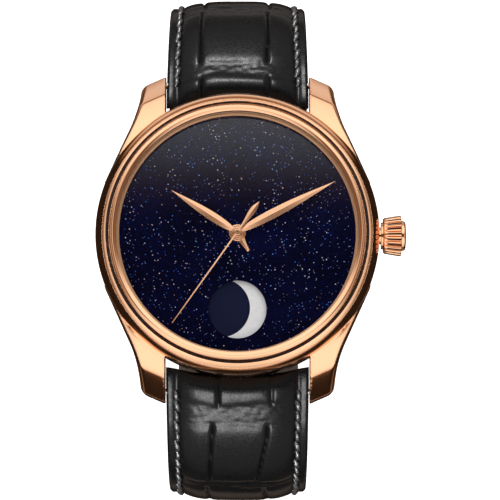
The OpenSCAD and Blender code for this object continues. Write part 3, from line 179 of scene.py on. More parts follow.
def lathe(name, node, profile, material, segments=192, sharp=35, body="head", centre=(0, 0, HEAD),
          axis="z", wobble=None):
    """Turns a closed (radius, height) profile about an axis; wobble(angle, radius, height) moves the radius.

    The piece stands for a CAD node, or for none.
    """
    prof = np.array(profile, float)
    ang = np.linspace(0, 2 * np.pi, segments, endpoint=False)
    r = np.repeat(prof[:, 0][:, None], segments, 1)
    h = np.repeat(prof[:, 1][:, None], segments, 1)
    if wobble:
        r = wobble(ang[None, :], r, h)
    c, s = np.cos(ang)[None, :] * r, np.sin(ang)[None, :] * r
    v = np.stack([c, s, h] if axis == "z" else [h, c, s], -1).reshape(-1, 3) + np.array(centre, float)
    faces = grid_faces(len(prof), segments, close_rows=True, close_cols=True)
    obj = new_object(name, v, faces, material, body)

    def weld(bm):
        bmesh.ops.remove_doubles(bm, verts=bm.verts, dist=1e-7)
        bmesh.ops.recalc_face_normals(bm, faces=bm.faces)

    edit_mesh(obj.data, weld)
    sharpen(obj, sharp)
    if node:
        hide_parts(node)


def tube(points, radii, sides, squash, normals):
    """Vertices and faces of a round rod along points, with flat ends."""
    pts = np.array(points, float)
    tangents = np.gradient(pts, axis=0)
    tangents /= np.linalg.norm(tangents, axis=1)[:, None]
    verts, n = [], len(pts)
    for p, t, up, radius in zip(pts, tangents, normals, radii):
        side = np.cross(t, np.array(up, float))
        side /= np.linalg.norm(side)
        nrm = np.cross(side, t)
        for k in range(sides):
            a = 2 * math.pi * k / sides
            verts.append(p + side * math.cos(a) * radius + nrm * math.sin(a) * radius * squash)
    faces = grid_faces(n, sides, close_cols=True)
    faces.append(tuple(range(sides)))
    faces.append(tuple((n - 1) * sides + k for k in reversed(range(sides))))
    return verts, faces


class Batch:
    """Several small shapes collected into one mesh."""

    def __init__(self):
        self.verts, self.faces = [], []

    def add(self, verts, faces):
        base = len(self.verts)
        self.verts.extend(verts)
        self.faces.extend([tuple(base + i for i in f) for f in faces])

    def make(self, name, node, material, body, sharp=None):
        return solid(name, node, self.verts, self.faces, material, body, sharp)


def refined(node, material, bevel):
    """A copy of a hard CAD node with its edges broken, which stands for the node."""
    def soften(bm):
        bmesh.ops.remove_doubles(bm, verts=bm.verts, dist=2e-7)
        bmesh.ops.dissolve_limit(bm, angle_limit=math.radians(2), verts=bm.verts, edges=bm.edges)
        bmesh.ops.bevel(bm, geom=creases(bm, 30), offset=bevel * MM, segments=2, profile=0.5,
                        affect="EDGES", clamp_overlap=True)
        bmesh.ops.triangulate(bm, faces=[f for f in bm.faces if len(f.verts) > 4])

    source = frame["nodes"][node]
    mesh = bpy.data.meshes.new(node + "_finished")
    edit_mesh(mesh, soften, source.data)
    obj = piece(node + "_finished", mesh, material, source["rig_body"])
    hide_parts(node)
    sharpen(obj, 40)


# Materials

class Tree:
    """Short calls for the nodes of one tree."""

    def __init__(self, tree):
        self.tree = tree

    def node(self, kind, inputs=None, **props):
        """A node whose inputs, by name or number, are linked to a socket or set to a value."""
        n = self.tree.nodes.new(kind)
        for k, v in props.items():
            setattr(n, k, v)
        for k, v in (inputs or {}).items():
            if isinstance(v, bpy.types.NodeSocket):
                self.tree.links.new(v, n.inputs[k])
            else:
                n.inputs[k].default_value = v
        return n

    def math(self, op, a, b=0.0):
        return self.node("ShaderNodeMath", {0: a, 1: b}, operation=op).outputs[0]

    def times(self, a, b):
        return self.math("MULTIPLY", a, b)

    def xyz(self, vector):
        sep = self.node("ShaderNodeSeparateXYZ", {"Vector": vector})
        return [sep.outputs[k] for k in "XYZ"]

    def range(self, value, a, b, c=0.0, d=1.0, kind="SMOOTHSTEP"):
        """A value that goes from a to b, turned into one that goes from c to d."""
        inputs = {"Value": value, "From Min": a, "From Max": b, "To Min": c, "To Max": d}
        return self.node("ShaderNodeMapRange", inputs, interpolation_type=kind).outputs["Result"]

    def mix(self, fac, a, b):
        """From colour a to colour b."""
        a, b = (c if isinstance(c, bpy.types.NodeSocket) else (*c, 1) for c in (a, b))
        return self.node("ShaderNodeMix", {"Factor": fac, 6: a, 7: b}, data_type="RGBA").outputs[2]


class Nodes(Tree):
    """A material: its Principled shader and short calls for what feeds it."""

    def __init__(self, name, base, metallic, roughness, **sockets):
        self.mat = bpy.data.materials.new(name)
        self.mat.use_nodes = True
        super().__init__(self.mat.node_tree)
        self.bsdf = next(n for n in self.tree.nodes if n.type == "BSDF_PRINCIPLED")
        self.set("Base Color", (*base, 1))
        self.set("Metallic", metallic)
        self.set("Roughness", roughness)
        for key, value in sockets.items():
            self.set(key.replace("_", " "), value)
        self.coord = None

    def set(self, key, value):
        self.bsdf.inputs[key].default_value = value

    def place(self):
        if self.coord is None:
            self.coord = self.node("ShaderNodeTexCoord").outputs["Object"]
        return self.coord

    def stretched(self, scale):
        return self.node("ShaderNodeMapping", {"Vector": self.place(), "Scale": scale}).outputs["Vector"]

    def noise(self, scale, detail, rough, vector=None):
        inputs = {"Vector": vector or self.place(), "Scale": scale, "Detail": detail, "Roughness": rough}
        return self.node("ShaderNodeTexNoise", inputs).outputs["Fac"]

    def cells(self, vector, scale, randomness, **props):
        inputs = {"Vector": vector, "Scale": scale, "Randomness": randomness}
        return self.node("ShaderNodeTexVoronoi", inputs, **props).outputs

    def ramp(self, fac, stops):
        n = self.node("ShaderNodeValToRGB", {"Fac": fac})
        e = n.color_ramp.elements
        while len(e) < len(stops):
            e.new(0.5)
        for el, (pos, col) in zip(e, stops):
            el.position = pos
            el.color = (*col, 1)
        return n.outputs["Color"]

    def link(self, out, key):
        self.tree.links.new(out, self.bsdf.inputs[key])

    def bump(self, height, strength, distance):
        n = self.node("ShaderNodeBump", {"Height": height, "Strength": strength, "Distance": distance})
        self.link(n.outputs["Normal"], "Normal")


def polished(name, base, rough, wear, tint=0.06, metallic=1.0):
    """Polished metal: faint hairlines, cloudy roughness and a slight drift of colour."""
    m = Nodes(name, base, metallic, rough)
    cloud = m.noise(160, 5, 0.6)
    hair = m.noise(900, 3, 0.55, m.stretched((1, 7, 1)))
    m.link(m.range(cloud, 0.25, 0.75, rough, rough + wear), "Roughness")
    darker = tuple(c * (1 - tint) for c in base)
    m.link(m.mix(m.range(cloud, 0.3, 0.7), base, darker), "Base Color")
    m.bump(hair, 0.012, 0.00002)
    return m


def grained(name, base, metallic, rough, noise, stretch=None, tones=None, gloss=None, bump=None, **sockets):
    """One noise, stretched or not, drives the tones, the roughness and the bump that are given."""
    m = Nodes(name, base, metallic, rough, **sockets)
    grain = m.noise(*noise, m.stretched(stretch) if stretch else None)
    if tones:
        m.link(m.mix(grain, *tones), "Base Color")
    if gloss:
        m.link(m.range(grain, *gloss), "Roughness")
    if bump:
        m.bump(grain, *bump)
    return m.mat


ROSE = (0.95, 0.53, 0.31)
gold = polished("rose_gold", ROSE, rough=0.09, wear=0.05, tint=0.03).mat
gold_hand = polished("rose_gold_hands", ROSE, rough=0.22, wear=0.06, tint=0.03).mat
gold_fine = polished("rose_gold_inner", (0.80, 0.45, 0.25), rough=0.34, wear=0.08, tint=0.03,
                     metallic=0.6).mat
steel_bright = polished("polished_steel", (0.62, 0.63, 0.66), rough=0.12, wear=0.08).mat
spring_steel = polished("tempered_spring_steel", (0.20, 0.25, 0.36), rough=0.22, wear=0.08).mat
blued = polished("blued_steel", (0.035, 0.07, 0.42), rough=0.14, wear=0.06).mat
# noise: scale, detail, roughness; gloss: from a range of the noise to one of roughness; bump: strength, depth
steel = grained("grained_steel", (0.55, 0.56, 0.58), 1.0, 0.28, noise=(3000, 4, 0.6), stretch=(1, 12, 1),
                tones=((0.495, 0.504, 0.522), (0.55, 0.56, 0.58)), gloss=(0.3, 0.7, 0.2, 0.4),
                bump=(0.25, 0.00003))
gilt = grained("gilt_wheels", (0.80, 0.60, 0.26), 1.0, 0.24, noise=(5200, 3, 0.6), stretch=(1, 1, 0.1),
               tones=((0.66, 0.47, 0.19), (0.84, 0.64, 0.30)), gloss=(0.3, 0.7, 0.16, 0.32),
               bump=(0.2, 0.00002))
navy = grained("navy_lacquer", (0.006, 0.008, 0.028), 0.0, 0.45, noise=(3800, 3, 0.6),
               tones=((0.0045, 0.006, 0.022), (0.009, 0.012, 0.038)), bump=(0.08, 0.00002),
               Specular_IOR_Level=0.06)
waxed = grained("waxed_thread", (0.006, 0.006, 0.0065), 0.0, 0.3, noise=(3800, 3, 0.6), stretch=(1, 2.6, 2.6),
                tones=((0.004, 0.004, 0.0045), (0.012, 0.012, 0.013)), bump=(0.6, 0.00008),
                Specular_IOR_Level=0.8)
seal = grained("black_seal", (0.012, 0.012, 0.013), 0.0, 0.55, noise=(3000, 3, 0.6),
               gloss=(0.3, 0.7, 0.45, 0.65), bump=(0.1, 0.00002))
stone_red = grained("synthetic_ruby", (0.45, 0.01, 0.08), 0.0, 0.08, noise=(1500, 3, 0.5),
                    tones=((0.36, 0.008, 0.06), (0.6, 0.03, 0.13)), Coat_Weight=1.0, Coat_Roughness=0.05)
crystal = grained("clear_crystal", (0.0, 0.0, 0.0), 0.0, 0.03, noise=(60, 2, 0.5),
                  gloss=(0.2, 0.8, 0.02, 0.05), Alpha=0.05, Specular_IOR_Level=0.5)


def striped_rhodium():
    """Straight parallel stripes, as cut by a turning disc on bridges."""
    tilt, pitch = math.radians(30), 0.0022
    m = Nodes("striped_rhodium", (0.66, 0.67, 0.70), 1.0, 0.22)
    x, y, _ = m.xyz(m.place())
    across = m.math("ADD", m.times(x, math.cos(tilt)), m.times(y, math.sin(tilt)))
    saw = m.math("FRACT", m.times(across, 1 / pitch))
    arcs = m.noise(5000, 2, 0.5, m.stretched((1, 3, 1)))
    stops = [(0.0, (0.50, 0.51, 0.54)), (0.85, (0.74, 0.75, 0.78)), (1.0, (0.55, 0.56, 0.6))]
    m.link(m.ramp(saw, stops), "Base Color")
    m.link(m.range(arcs, 0.3, 0.7, 0.16, 0.34), "Roughness")
    m.bump(m.math("ADD", saw, m.times(arcs, 0.25)), 0.35, 0.00006)
    return m.mat


def spotted_rhodium():
    """Overlapping round spots ground into the mainplate."""
    m = Nodes("spotted_rhodium", (0.6, 0.61, 0.63), 1.0, 0.28)
    distance = m.cells(m.place(), 1100.0, 0.15)["Distance"]
    rings = m.math("SINE", m.times(distance, 60.0))
    m.link(m.ramp(distance, [(0.0, (0.72, 0.73, 0.75)), (0.6, (0.46, 0.47, 0.5))]), "Base Color")
    m.bump(rings, 0.2, 0.00002)
    m.link(m.range(rings, -1, 1, 0.2, 0.36), "Roughness")
    return m.mat


# Layers of flakes: scale, size, share left out, colours, seed
FLAKES = [
    (3300, 0.24, 0.6, [(0.0, (0.0, 0.006, 0.12)), (1.0, (0.004, 0.008, 0.06))], 0.013),
    (2300, 0.18, 0.82, [(0.0, (0.0, 0.2, 1.0)), (0.6, (0.42, 0.26, 0.24)), (1.0, (0.0, 0.3, 1.0))], 0.11),
    (2100, 0.2, 0.92, [(0.0, (0.9, 0.9, 1.0)), (0.35, (0.95, 0.70, 0.62)), (0.6, (0.10, 0.42, 1.0)),
                       (1.0, (1.0, 1.0, 1.0))], 0.31),
]


def flakes(m, scale, size, threshold, stops, seed):
    """The amount and the colour of one layer of flakes."""
    turned = {"Vector": m.place(), "Location": (seed, seed * 0.7, 0.0), "Rotation": (0.0, 0.0, seed * 9),
              "Scale": (1, 1, 0)}
    flat = m.node("ShaderNodeMapping", turned).outputs["Vector"]
    cells = m.cells(flat, scale, 1.0, voronoi_dimensions="2D")
    draws = m.node("ShaderNodeSeparateColor", {"Color": cells["Color"]}).outputs
    spot = m.range(cells["Distance"], size, size * 0.45)
    strength = m.range(draws["Red"], threshold, 1.0, 0.25, 1.0, "LINEAR")
    kept = m.times(strength, m.math("GREATER_THAN", draws["Red"], threshold))
    return m.times(spot, kept), m.ramp(draws["Green"], stops)


def aventurine():
    """Dark blue glass full of fine flakes under a polished surface."""
    m = Nodes("aventurine_glass", (0.002, 0.003, 0.012), 0.0, 0.35, Specular_IOR_Level=0.0, Coat_Weight=1.0,
              Coat_Roughness=0.07, Coat_IOR=1.62)
    colour = m.mix(m.range(m.noise(140, 3, 0.6), 0.35, 0.7), (0.0012, 0.0016, 0.010), (0.0018, 0.0026, 0.020))
    for layer in FLAKES:
        amount, tint = flakes(m, *layer)
        colour = m.mix(amount, colour, tint)
    m.link(colour, "Base Color")

    def vector(op, *inputs):
        return m.node("ShaderNodeVectorMath", dict(enumerate(inputs)), operation=op).outputs[0]

    # the polished top is very slightly domed, as the crystal over it is
    normal = m.node("ShaderNodeNewGeometry").outputs["Normal"]
    bent = vector("ADD", normal, vector("MULTIPLY", m.place(), (3.2, 3.2, 0.0)))
    m.link(vector("NORMALIZE", bent), "Coat Normal")
    return m.mat


def moon_silver():
    m = Nodes("grained_silver", (0.75, 0.75, 0.76), 0.15, 0.55)
    grain, blotch = m.noise(7000, 3, 0.7), m.noise(1400, 3, 0.6)
    tone = m.math("ADD", m.times(grain, 0.6), m.times(blotch, 0.4))
    m.link(m.mix(tone, (0.48, 0.48, 0.49), (0.98, 0.98, 0.99)), "Base Color")
    m.bump(grain, 0.3, 0.00002)
    return m.mat


def leather(name, dark, light, rough, bump, scale, specular):
    m = Nodes(name, dark, 0.0, rough, Specular_IOR_Level=specular)
    pores = m.noise(scale, 5, 0.65)
    creasing = m.noise(scale / 5, 4, 0.6, m.stretched((1.0, 2.4, 2.4)))
    m.link(m.mix(creasing, dark, light), "Base Color")
    m.link(m.range(pores, 0.3, 0.7, rough - 0.06, rough + 0.12), "Roughness")
    m.bump(m.math("ADD", m.times(pores, 0.5), m.times(creasing, 0.8)), bump, 0.00005)
    return m.mat


strap_black = leather("glossy_scale_leather", (0.0012, 0.0012, 0.0013), (0.0022, 0.0022, 0.0024),
                      rough=0.25, bump=0.2, scale=3200, specular=0.09)
lining_brown = leather("smooth_lining", (0.035, 0.022, 0.015), (0.06, 0.038, 0.026),
                       rough=0.5, bump=0.3, scale=2600, specular=0.5)


# Case body

def polygon_distance(px, py, poly):
    """Signed distance to a closed polygon, negative inside."""
    poly = np.asarray(poly, float)
    best = np.full(px.shape, 1e9)
    inside = np.zeros(px.shape, bool)
    n = len(poly)
    for i in range(n):
        ax, ay = poly[i]
        bx, by = poly[(i + 1) % n]
        ex, ey = bx - ax, by - ay
        wx, wy = px - ax, py - ay
        t = np.clip((wx * ex + wy * ey) / (ex * ex + ey * ey + 1e-18), 0, 1)
        dx, dy = wx - ex * t, wy - ey * t
        best = np.minimum(best, dx * dx + dy * dy)
        cross = ((ay <= py) & (by > py)) | ((by <= py) & (ay > py))
        with np.errstate(divide="ignore", invalid="ignore"):
            xi = ax + (py - ay) / (by - ay + 1e-18) * ex
        inside ^= cross & (px < xi)
    d = np.sqrt(best)
    return np.where(inside, -d, d)


def round_and(a, b, k):
    """Intersection with a rounded edge of radius k."""
    return np.minimum(np.maximum(a, b), -k) + np.hypot(np.maximum(a + k, 0), np.maximum(b + k, 0))


def arc(cx, cy, r, a0, a1, n):
    """Points of an arc between two angles in degrees."""
    t = np.radians(np.linspace(a0, a1, n))
    return [(cx + r * math.cos(x), cy + r * math.sin(x)) for x in t]


BAND_IN, BAND_RISE = 1.75, 3.1  # how far the band's round shoulder comes in and goes up
BAND_ARC_R = (BAND_IN ** 2 + BAND_RISE ** 2) / (2 * BAND_IN)
BAND_ARC = arc(CASE_R - BAND_ARC_R, -1.2, BAND_ARC_R, math.degrees(math.asin(BAND_RISE / BAND_ARC_R)), 0, 40)
BAND = ([(18.35, -8.4), (18.35, 1.4), (19.25, 1.4)] + BAND_ARC
        + [(CASE_R, -5.2), (20.72, -6.45), (20.3, -7.3), (19.6, -8.4)])
BAND_INSET = 0.12  # room for the turned band over it

LUG_PLAN = ([(6.0, 7.6), (19.6, 7.6), (16.0, 15.5)] + arc(33.29, 23.38, 19.0, 204.2, 184.4, 16)
            + [(14.3, 22.5), (14.25, 23.3), (13.9, 24.3), (13.0, 25.2), (6.0, 25.3)])
LUG_START = (14.9, -0.9)  # where the lug's top leaves the level, in the side view
LUG_ARCS = [(10.8, 0, 33), (2.2, 33, 52), (48.0, 52, 58.5)]  # radius, tilt at both ends
LUG_IN = 10.7  # half the space between two lugs
LUG_SLANT = 0.44
LUG_ROOT_R = 18.6
LUG_EDGE, LUG_INNER_EDGE = 0.85, 0.22  # radii of the edges
LUG_PLAN_OUT, LUG_SIDE_OUT = 0.1, 0.02
BAR_GROOVE_R = 2.7


def lug_line():
    """The top of a lug in the side view: a gentle arc, a soft edge, then a long steep end."""
    (y, z), pts = LUG_START, []
    for radius, tilt_0, tilt_1 in LUG_ARCS:
        a0 = math.radians(tilt_0)
        for a in np.radians(np.linspace(tilt_0, tilt_1, 14))[1:]:
            pts.append((y + radius * (math.sin(a) - math.sin(a0)), z - radius * (math.cos(a0) - math.cos(a))))
        y, z = pts[-1]
    return pts


LUG_SIDE = [(7.1, -8.4), (7.1, LUG_START[1]), LUG_START] + lug_line() + [(24.62, -9.6), (19.6, -8.42)]


def case_field(x, y, z):
    """Signed distance of the band and lugs, in millimetres from the dial's top."""
    ax, ay = np.abs(x), np.abs(y)
    r = np.hypot(x, y)
    band = polygon_distance(r, z, BAND) + BAND_INSET
    plan = polygon_distance(ax, ay, LUG_PLAN) - LUG_PLAN_OUT
    side = polygon_distance(ay + LUG_SLANT * (ax - LUG_IN), z, LUG_SIDE) - LUG_SIDE_OUT
    lug = round_and(plan, side, LUG_EDGE)
    lug = round_and(lug, LUG_IN - ax, LUG_INNER_EDGE)
    lug = np.maximum(lug, LUG_ROOT_R - r)
    d = np.minimum(band, lug)
    groove = BAR_GROOVE_R - np.hypot(ay - BAR_Y, z - BAR_Z)
    return np.where(ax < LUG_IN, np.maximum(d, groove), d)


def surface_nets(field_of, lo, hi, step):
    """A quad mesh of the zero level of a field, with its points moved onto the level."""
    axes = [np.arange(lo[k], hi[k] + step, step) for k in range(3)]
    x, y, z = np.meshgrid(*axes, indexing="ij")
    f = np.empty(x.shape)
    for i in range(0, x.shape[0], 16):
        f[i:i + 16] = field_of(x[i:i + 16], y[i:i + 16], z[i:i + 16])
    neg = f < 0
    shape = tuple(n - 1 for n in f.shape)
    corners = [(a, b, c) for a in (0, 1) for b in (0, 1) for c in (0, 1)]
    total = sum(neg[a:a + shape[0], b:b + shape[1], c:c + shape[2]].astype(int) for a, b, c in corners)
    idx = np.argwhere((total > 0) & (total < len(corners)))
    # One point for each cell that the level passes: the mean of where it crosses the cell's edges
    unit = np.eye(3, dtype=int)
    pos, crossings = np.zeros((len(idx), 3)), np.zeros(len(idx))
    for a, k in [(a, k) for a in corners for k in range(3) if not a[k]]:
        fa, fb = f[tuple((idx + a).T)], f[tuple((idx + a + unit[k]).T)]
        cross = (fa < 0) != (fb < 0)
        t = np.where(cross, fa / np.where(cross, fa - fb, 1), 0)
        pos += np.where(cross[:, None], a + t[:, None] * unit[k], 0)
        crossings += cross
    pos = (idx + pos / crossings[:, None]) * step + np.array(lo, float)
    number = -np.ones(shape, int)
    number[tuple(idx.T)] = np.arange(len(idx))
    # One quad for each edge of the grid that the level crosses, through the four cells round the edge
    faces = []
    for k in range(3):
        low, high = [slice(1, -1)] * 3, [slice(1, -1)] * 3
        low[k], high[k] = slice(0, -1), slice(1, None)
        base = np.argwhere(neg[tuple(low)] != neg[tuple(high)]) + 1 - unit[k]
        u, v = unit[(k + 1) % 3], unit[(k + 2) % 3]
        quad = np.stack([number[tuple(c.T)] for c in (base, base - u, base - u - v, base - v)], 1)
        out = ~neg[tuple(base.T)]
        quad[out] = quad[out][:, ::-1]
        faces.append(quad)
    faces = np.concatenate(faces)
    faces = faces[(faces >= 0).all(1)]
    # A few damped steps along the slope bring the points onto the level
    probe = 0.01
    for _ in range(3):
        d = field_of(*pos.T)
        g = np.stack([field_of(*(pos + o).T) - field_of(*(pos - o).T) for o in unit * probe], 1) / (2 * probe)
        steepness = np.maximum((g * g).sum(1), 0.25)
        pos -= np.clip(d / steepness, -0.1, 0.1)[:, None] * g * 0.9
    return pos, faces


def case_body():
    """The band and the lugs in one, as the zero level of their field."""
    pos, faces = surface_nets(case_field, (-21.5, -24.75, -9.7), (21.5, 24.75, 2.3), 0.22)
    pos[:, 2] += HEAD
    solid("case_body", "case_middle", pos, faces, gold, "head", 48)


case_body()

# Rings of the head; a black ring with no CAD part of its own lies in the groove between the band and the
# bezel as painted shade

GROOVE = [(19.08, 1.38), (19.1, 0.9), (19.34, 0.9), (19.36, 1.22), (19.4, 1.26)]
BAND_PROFILE = ([(18.45, -8.38), (18.45, 1.38)] + GROOVE + BAND_ARC[2:]
                + [(CASE_R, -5.2), (20.9, -6.0), (20.72, -6.5), (20.3, -7.3), (19.6, -8.38)])
# profile of the black ring that paints shade into the groove between the band and the bezel; the watch has no
# seal there
GROOVE_SHADE_RING = rounded([(19.11, 0.92), (19.33, 0.92), (19.36, 1.42), (19.08, 1.42)], 0.04, 2)
BEZEL = rounded([(18.0, 1.42), (18.0, 2.79), (17.83, 2.79), (17.83, 2.84), (18.3, 2.93), (18.4, 3.0),
                 (18.62, 2.93), (18.95, 2.62), (19.06, 2.2), (19.08, 1.42)], 0.02, 3)
DIAL_RING = rounded([(17.45, 0.02), (18.22, 0.02), (18.22, 1.38), (17.98, 1.38), (17.98, 1.99), (17.72, 1.99),
                     (17.72, 0.36), (17.46, 0.1)], 0.02, 2)
DOME = ([(0.001, 2.01), (17.7, 2.01), (17.78, 2.09), (17.78, 3.2), (17.6, 3.41)]
        + [(17.6 * t, 3.41 + 0.33 * (1 - t * t)) for t in np.linspace(0.97, 0.0, 24)[:-1]]
        + [(0.001, 3.74)])
FRONT_SEAL = rounded([(17.8, 2.02), (17.98, 2.02), (17.98, 2.78), (17.8, 2.78)], 0.04, 3)
CASEBACK = rounded([(15.1, -9.38), (19.25, -9.38), (19.4, -9.2), (19.4, -8.42), (15.72, -8.42),
                    (15.72, -9.18), (15.1, -9.18)], 0.08, 3)
BACK_DISC = rounded([(0.001, -9.18), (15.48, -9.18), (15.48, -8.42), (0.001, -8.42)], 0.03, 2)

lathe("case_band_turned", "case_middle", BAND_PROFILE, gold, 288, 30)
# painted shade: a black ring, standing for no CAD node, darkens the groove between the band and the bezel
lathe("groove_shade_ring", None, GROOVE_SHADE_RING, seal)
lathe("bezel_ring", "bezel", BEZEL, gold, 256, 28)
lathe("dial_ring_turned", "dial_ring", DIAL_RING, gold_fine, 256)
lathe("front_crystal_domed", "front_crystal", DOME, crystal)
lathe("front_seal", "crystal_gasket", FRONT_SEAL, seal)
lathe("caseback_turned", "caseback_ring", CASEBACK, gold, 256)
lathe("back_crystal_disc", "back_crystal", BACK_DISC, crystal)
refined("caseback_screws", gold, 0.03)
refined("back_gasket", seal, 0.03)

# Crown

CROWN_X = CASE_R + 0.25
CROWN_AXIS = (0, 0, HEAD - 3.9)
FLUTES = 11  # ridges on half the crown
FLUTE_START, FLUTE_END, FLUTE_DEEP = 0.5, 3.0, 0.4


def fluted_gold():
    """Polished gold with painted shade in the narrow valleys between the crown's ridges: the base colour goes
    nearly black there.
    """
    m = polished("rose_gold_fluted", ROSE, rough=0.12, wear=0.05, tint=0.03)
    x, y, z = m.xyz(m.place())
    turn = m.math("ARCTAN2", y, m.math("SUBTRACT", z, CROWN_AXIS[2] * MM))
    wave = m.math("ABSOLUTE", m.math("SINE", m.times(turn, FLUTES)))
    start = m.range(x, (CROWN_X + FLUTE_START + 0.1) * MM, (CROWN_X + FLUTE_START + 0.6) * MM)
    stop = m.range(x, (CROWN_X + FLUTE_END + 0.1) * MM, (CROWN_X + FLUTE_END) * MM)
    # painted shade: the base colour in the valleys between the ridges is mixed towards near black
    valley_painted_shade = m.times(m.range(wave, 0.75, 0.3), m.times(start, stop))
    m.link(m.mix(valley_painted_shade, ROSE, (0.05, 0.018, 0.008)), "Base Color")
    return m.mat


def flutes(angle, r, h):
    """Radius of the crown with narrow valleys between round ridges."""
    lobe = 1 - np.abs(np.sin(angle * FLUTES)) ** 0.42
    start = np.clip((h - (CROWN_X + FLUTE_START)) / 0.7, 0, 1)
    end = np.clip(((CROWN_X + FLUTE_END) - h) / 0.12, 0, 1)
    return r - FLUTE_DEEP * lobe * ((r > 2.3) * start * end)


def crown_line(points, radius, steps):
    """A part of the crown's profile, with its places along the axis counted from the case."""
    return rounded([(r, CROWN_X + x) for r, x in points], radius, steps, closed=False)


neck = crown_line([(1.82, 0.02), (2.0, 0.02), (2.0, 0.32), (2.42, 0.33)], 0.04, 2)
grip = crown_line([(2.5, 0.34), (2.66, 0.5), (3.06, 2.85), (2.9, 3.04), (2.28, 3.06)], 0.14, 4)
cap = crown_line([(2.22, 3.07), (2.2, 3.45), (1.95, 3.66), (1.0, 3.73), (0.001, 3.75)], 0.12, 4)
bore = [(0.001, CROWN_X + 1.72), (1.82, CROWN_X + 1.72)]
lathe("crown_fluted", "crown", neck + densified(grip, 0.16) + cap + bore, fluted_gold(),
      segments=528, sharp=50, body="crown_group", centre=CROWN_AXIS, axis="x", wobble=flutes)


# Hands

def blade(batch, z0, thick, start, end, width_at, ridge, angle, steps):
    """Adds a blade with a raised middle line and thin edges, at an angle clockwise from 12."""
    a = math.radians(angle)
    ca, sa = math.cos(a), math.sin(a)

    def turn(x, y, z):
        return (x * ca + y * sa, -x * sa + y * ca, z + HEAD)

    for side in (-1, 1):
        verts = []
        for t in np.linspace(0, 1, steps):
            y = start + (end - start) * t
            w = width_at(t)
            x, top = side * w, ridge(w)
            flank = z0 + thick * 0.72 + (top - thick) * 0.42
            verts += [turn(0, y, z0), turn(0, y, z0 + top), turn(x * 0.55, y, flank),
                      turn(x, y, z0 + thick * 0.5), turn(x, y, z0)]
        faces = grid_faces(steps, 5, close_cols=True)
        faces += [tuple(range(5)), tuple((steps - 1) * 5 + k for k in range(5))]
        batch.add(verts, faces)


def boss(batch, z0, rings, bore):
    """Adds a small turned boss, with (radius, height) rings from the outside in."""
    prof = [(bore, z0), (rings[0][0], z0)] + [(r, z0 + h) for r, h in rings] + [(bore, z0 + rings[-1][1])]
    prof, n = rounded(prof, 0.025, 3), 64
    ang = np.linspace(0, 2 * np.pi, n, endpoint=False)
    verts = [(p[0] * math.cos(t), p[0] * math.sin(t), p[1] + HEAD) for p in prof for t in ang]
    batch.add(verts, grid_faces(len(prof), n, close_rows=True, close_cols=True))


def hand(name, node, body, z0, thick, blades, rings, bore):
    """Blades and their boss at one height; a blade is start, end, half width, ridge, angle and steps."""
    batch = Batch()
    for shape in blades:
        blade(batch, z0, thick, *shape)
    boss(batch, z0, rings, bore)
    batch.make(name, node, gold_hand, body, 38)


def leaf(width, root, bulge, least):
    """Half the width of a leaf along its length."""
    return lambda t: max(least, root * (1 - t) + (width / 2 - root * 0.6) * math.sin(math.pi * t ** bulge))


def ridge_of(rise, wide):
    """Height of the middle line, which falls where the blade is narrow."""
    return lambda w: 0.1 + rise * min(1, w / wide)


def day_half(t):
    """Half the width of the small hand: a taper with a round tip."""
    if t < 0.94:
        return 0.2 + 0.35 * (1 - t) ** 1.7
    return 0.2 * math.sqrt(max(0.02, 1 - ((t - 0.94) / 0.06) ** 2))


HOUR_Z, MINUTE_Z, SECONDS_Z, SMALL_Z = 0.68, 1.02, 1.36, 0.35  # above the dial
HOUR_AT, MINUTE_AT, SECONDS_AT, SMALL_AT = 302.8, 62.3, 215.5, 149  # clockwise from 12
hand("hour_hand_leaf", "hour_hand", "hour", HOUR_Z, 0.15,
     blades=[(0.85, 11.5, leaf(1.3, 0.3, 0.72, 0.045), ridge_of(0.1, 0.5), HOUR_AT, 48)],
     rings=[(0.98, 0.06), (0.94, 0.17), (0.86, 0.2)], bore=0.74)
hand("minute_hand_leaf", "minute_hand", "minute", MINUTE_Z, 0.15,
     blades=[(0.7, 16.3, leaf(1.4, 0.28, 0.72, 0.045), ridge_of(0.1, 0.5), MINUTE_AT, 48)],
     rings=[(0.78, 0.06), (0.75, 0.17), (0.62, 0.2)], bore=0.46)
hand("seconds_hand_needle", "seconds_hand", "seconds", SECONDS_Z, 0.13,
     blades=[(0.3, 16.5, lambda t: 0.12 - 0.05 * t, lambda w: 0.13, SECONDS_AT, 30),
             (0.3, 5.5, leaf(1.0, 0.14, 1.9, 0.03), ridge_of(0.06, 0.4), SECONDS_AT - 180, 36)],
     rings=[(0.5, 0.06), (0.48, 0.16), (0.34, 0.2), (0.2, 0.2)], bore=0.14)
hand("day_night_hand_small", "day_night_hand", "day_night", SMALL_Z, 0.15,
     blades=[(1.1, 3.2, day_half, lambda w: 0.12 + 0.05 * min(1, w / 0.3), SMALL_AT, 26)],
     rings=[(1.25, 0.06), (1.22, 0.13), (1.08, 0.17)], bore=1.0)


# Strap routes

def arc_len(a):
    """Length of a (radius, degrees) arc."""
    return a[0] * math.radians(a[1])


def smooth(t):
    """From 0 to 1 with soft ends."""
    t = np.clip(t, 0, 1)
    return t * t * (3 - 2 * t)


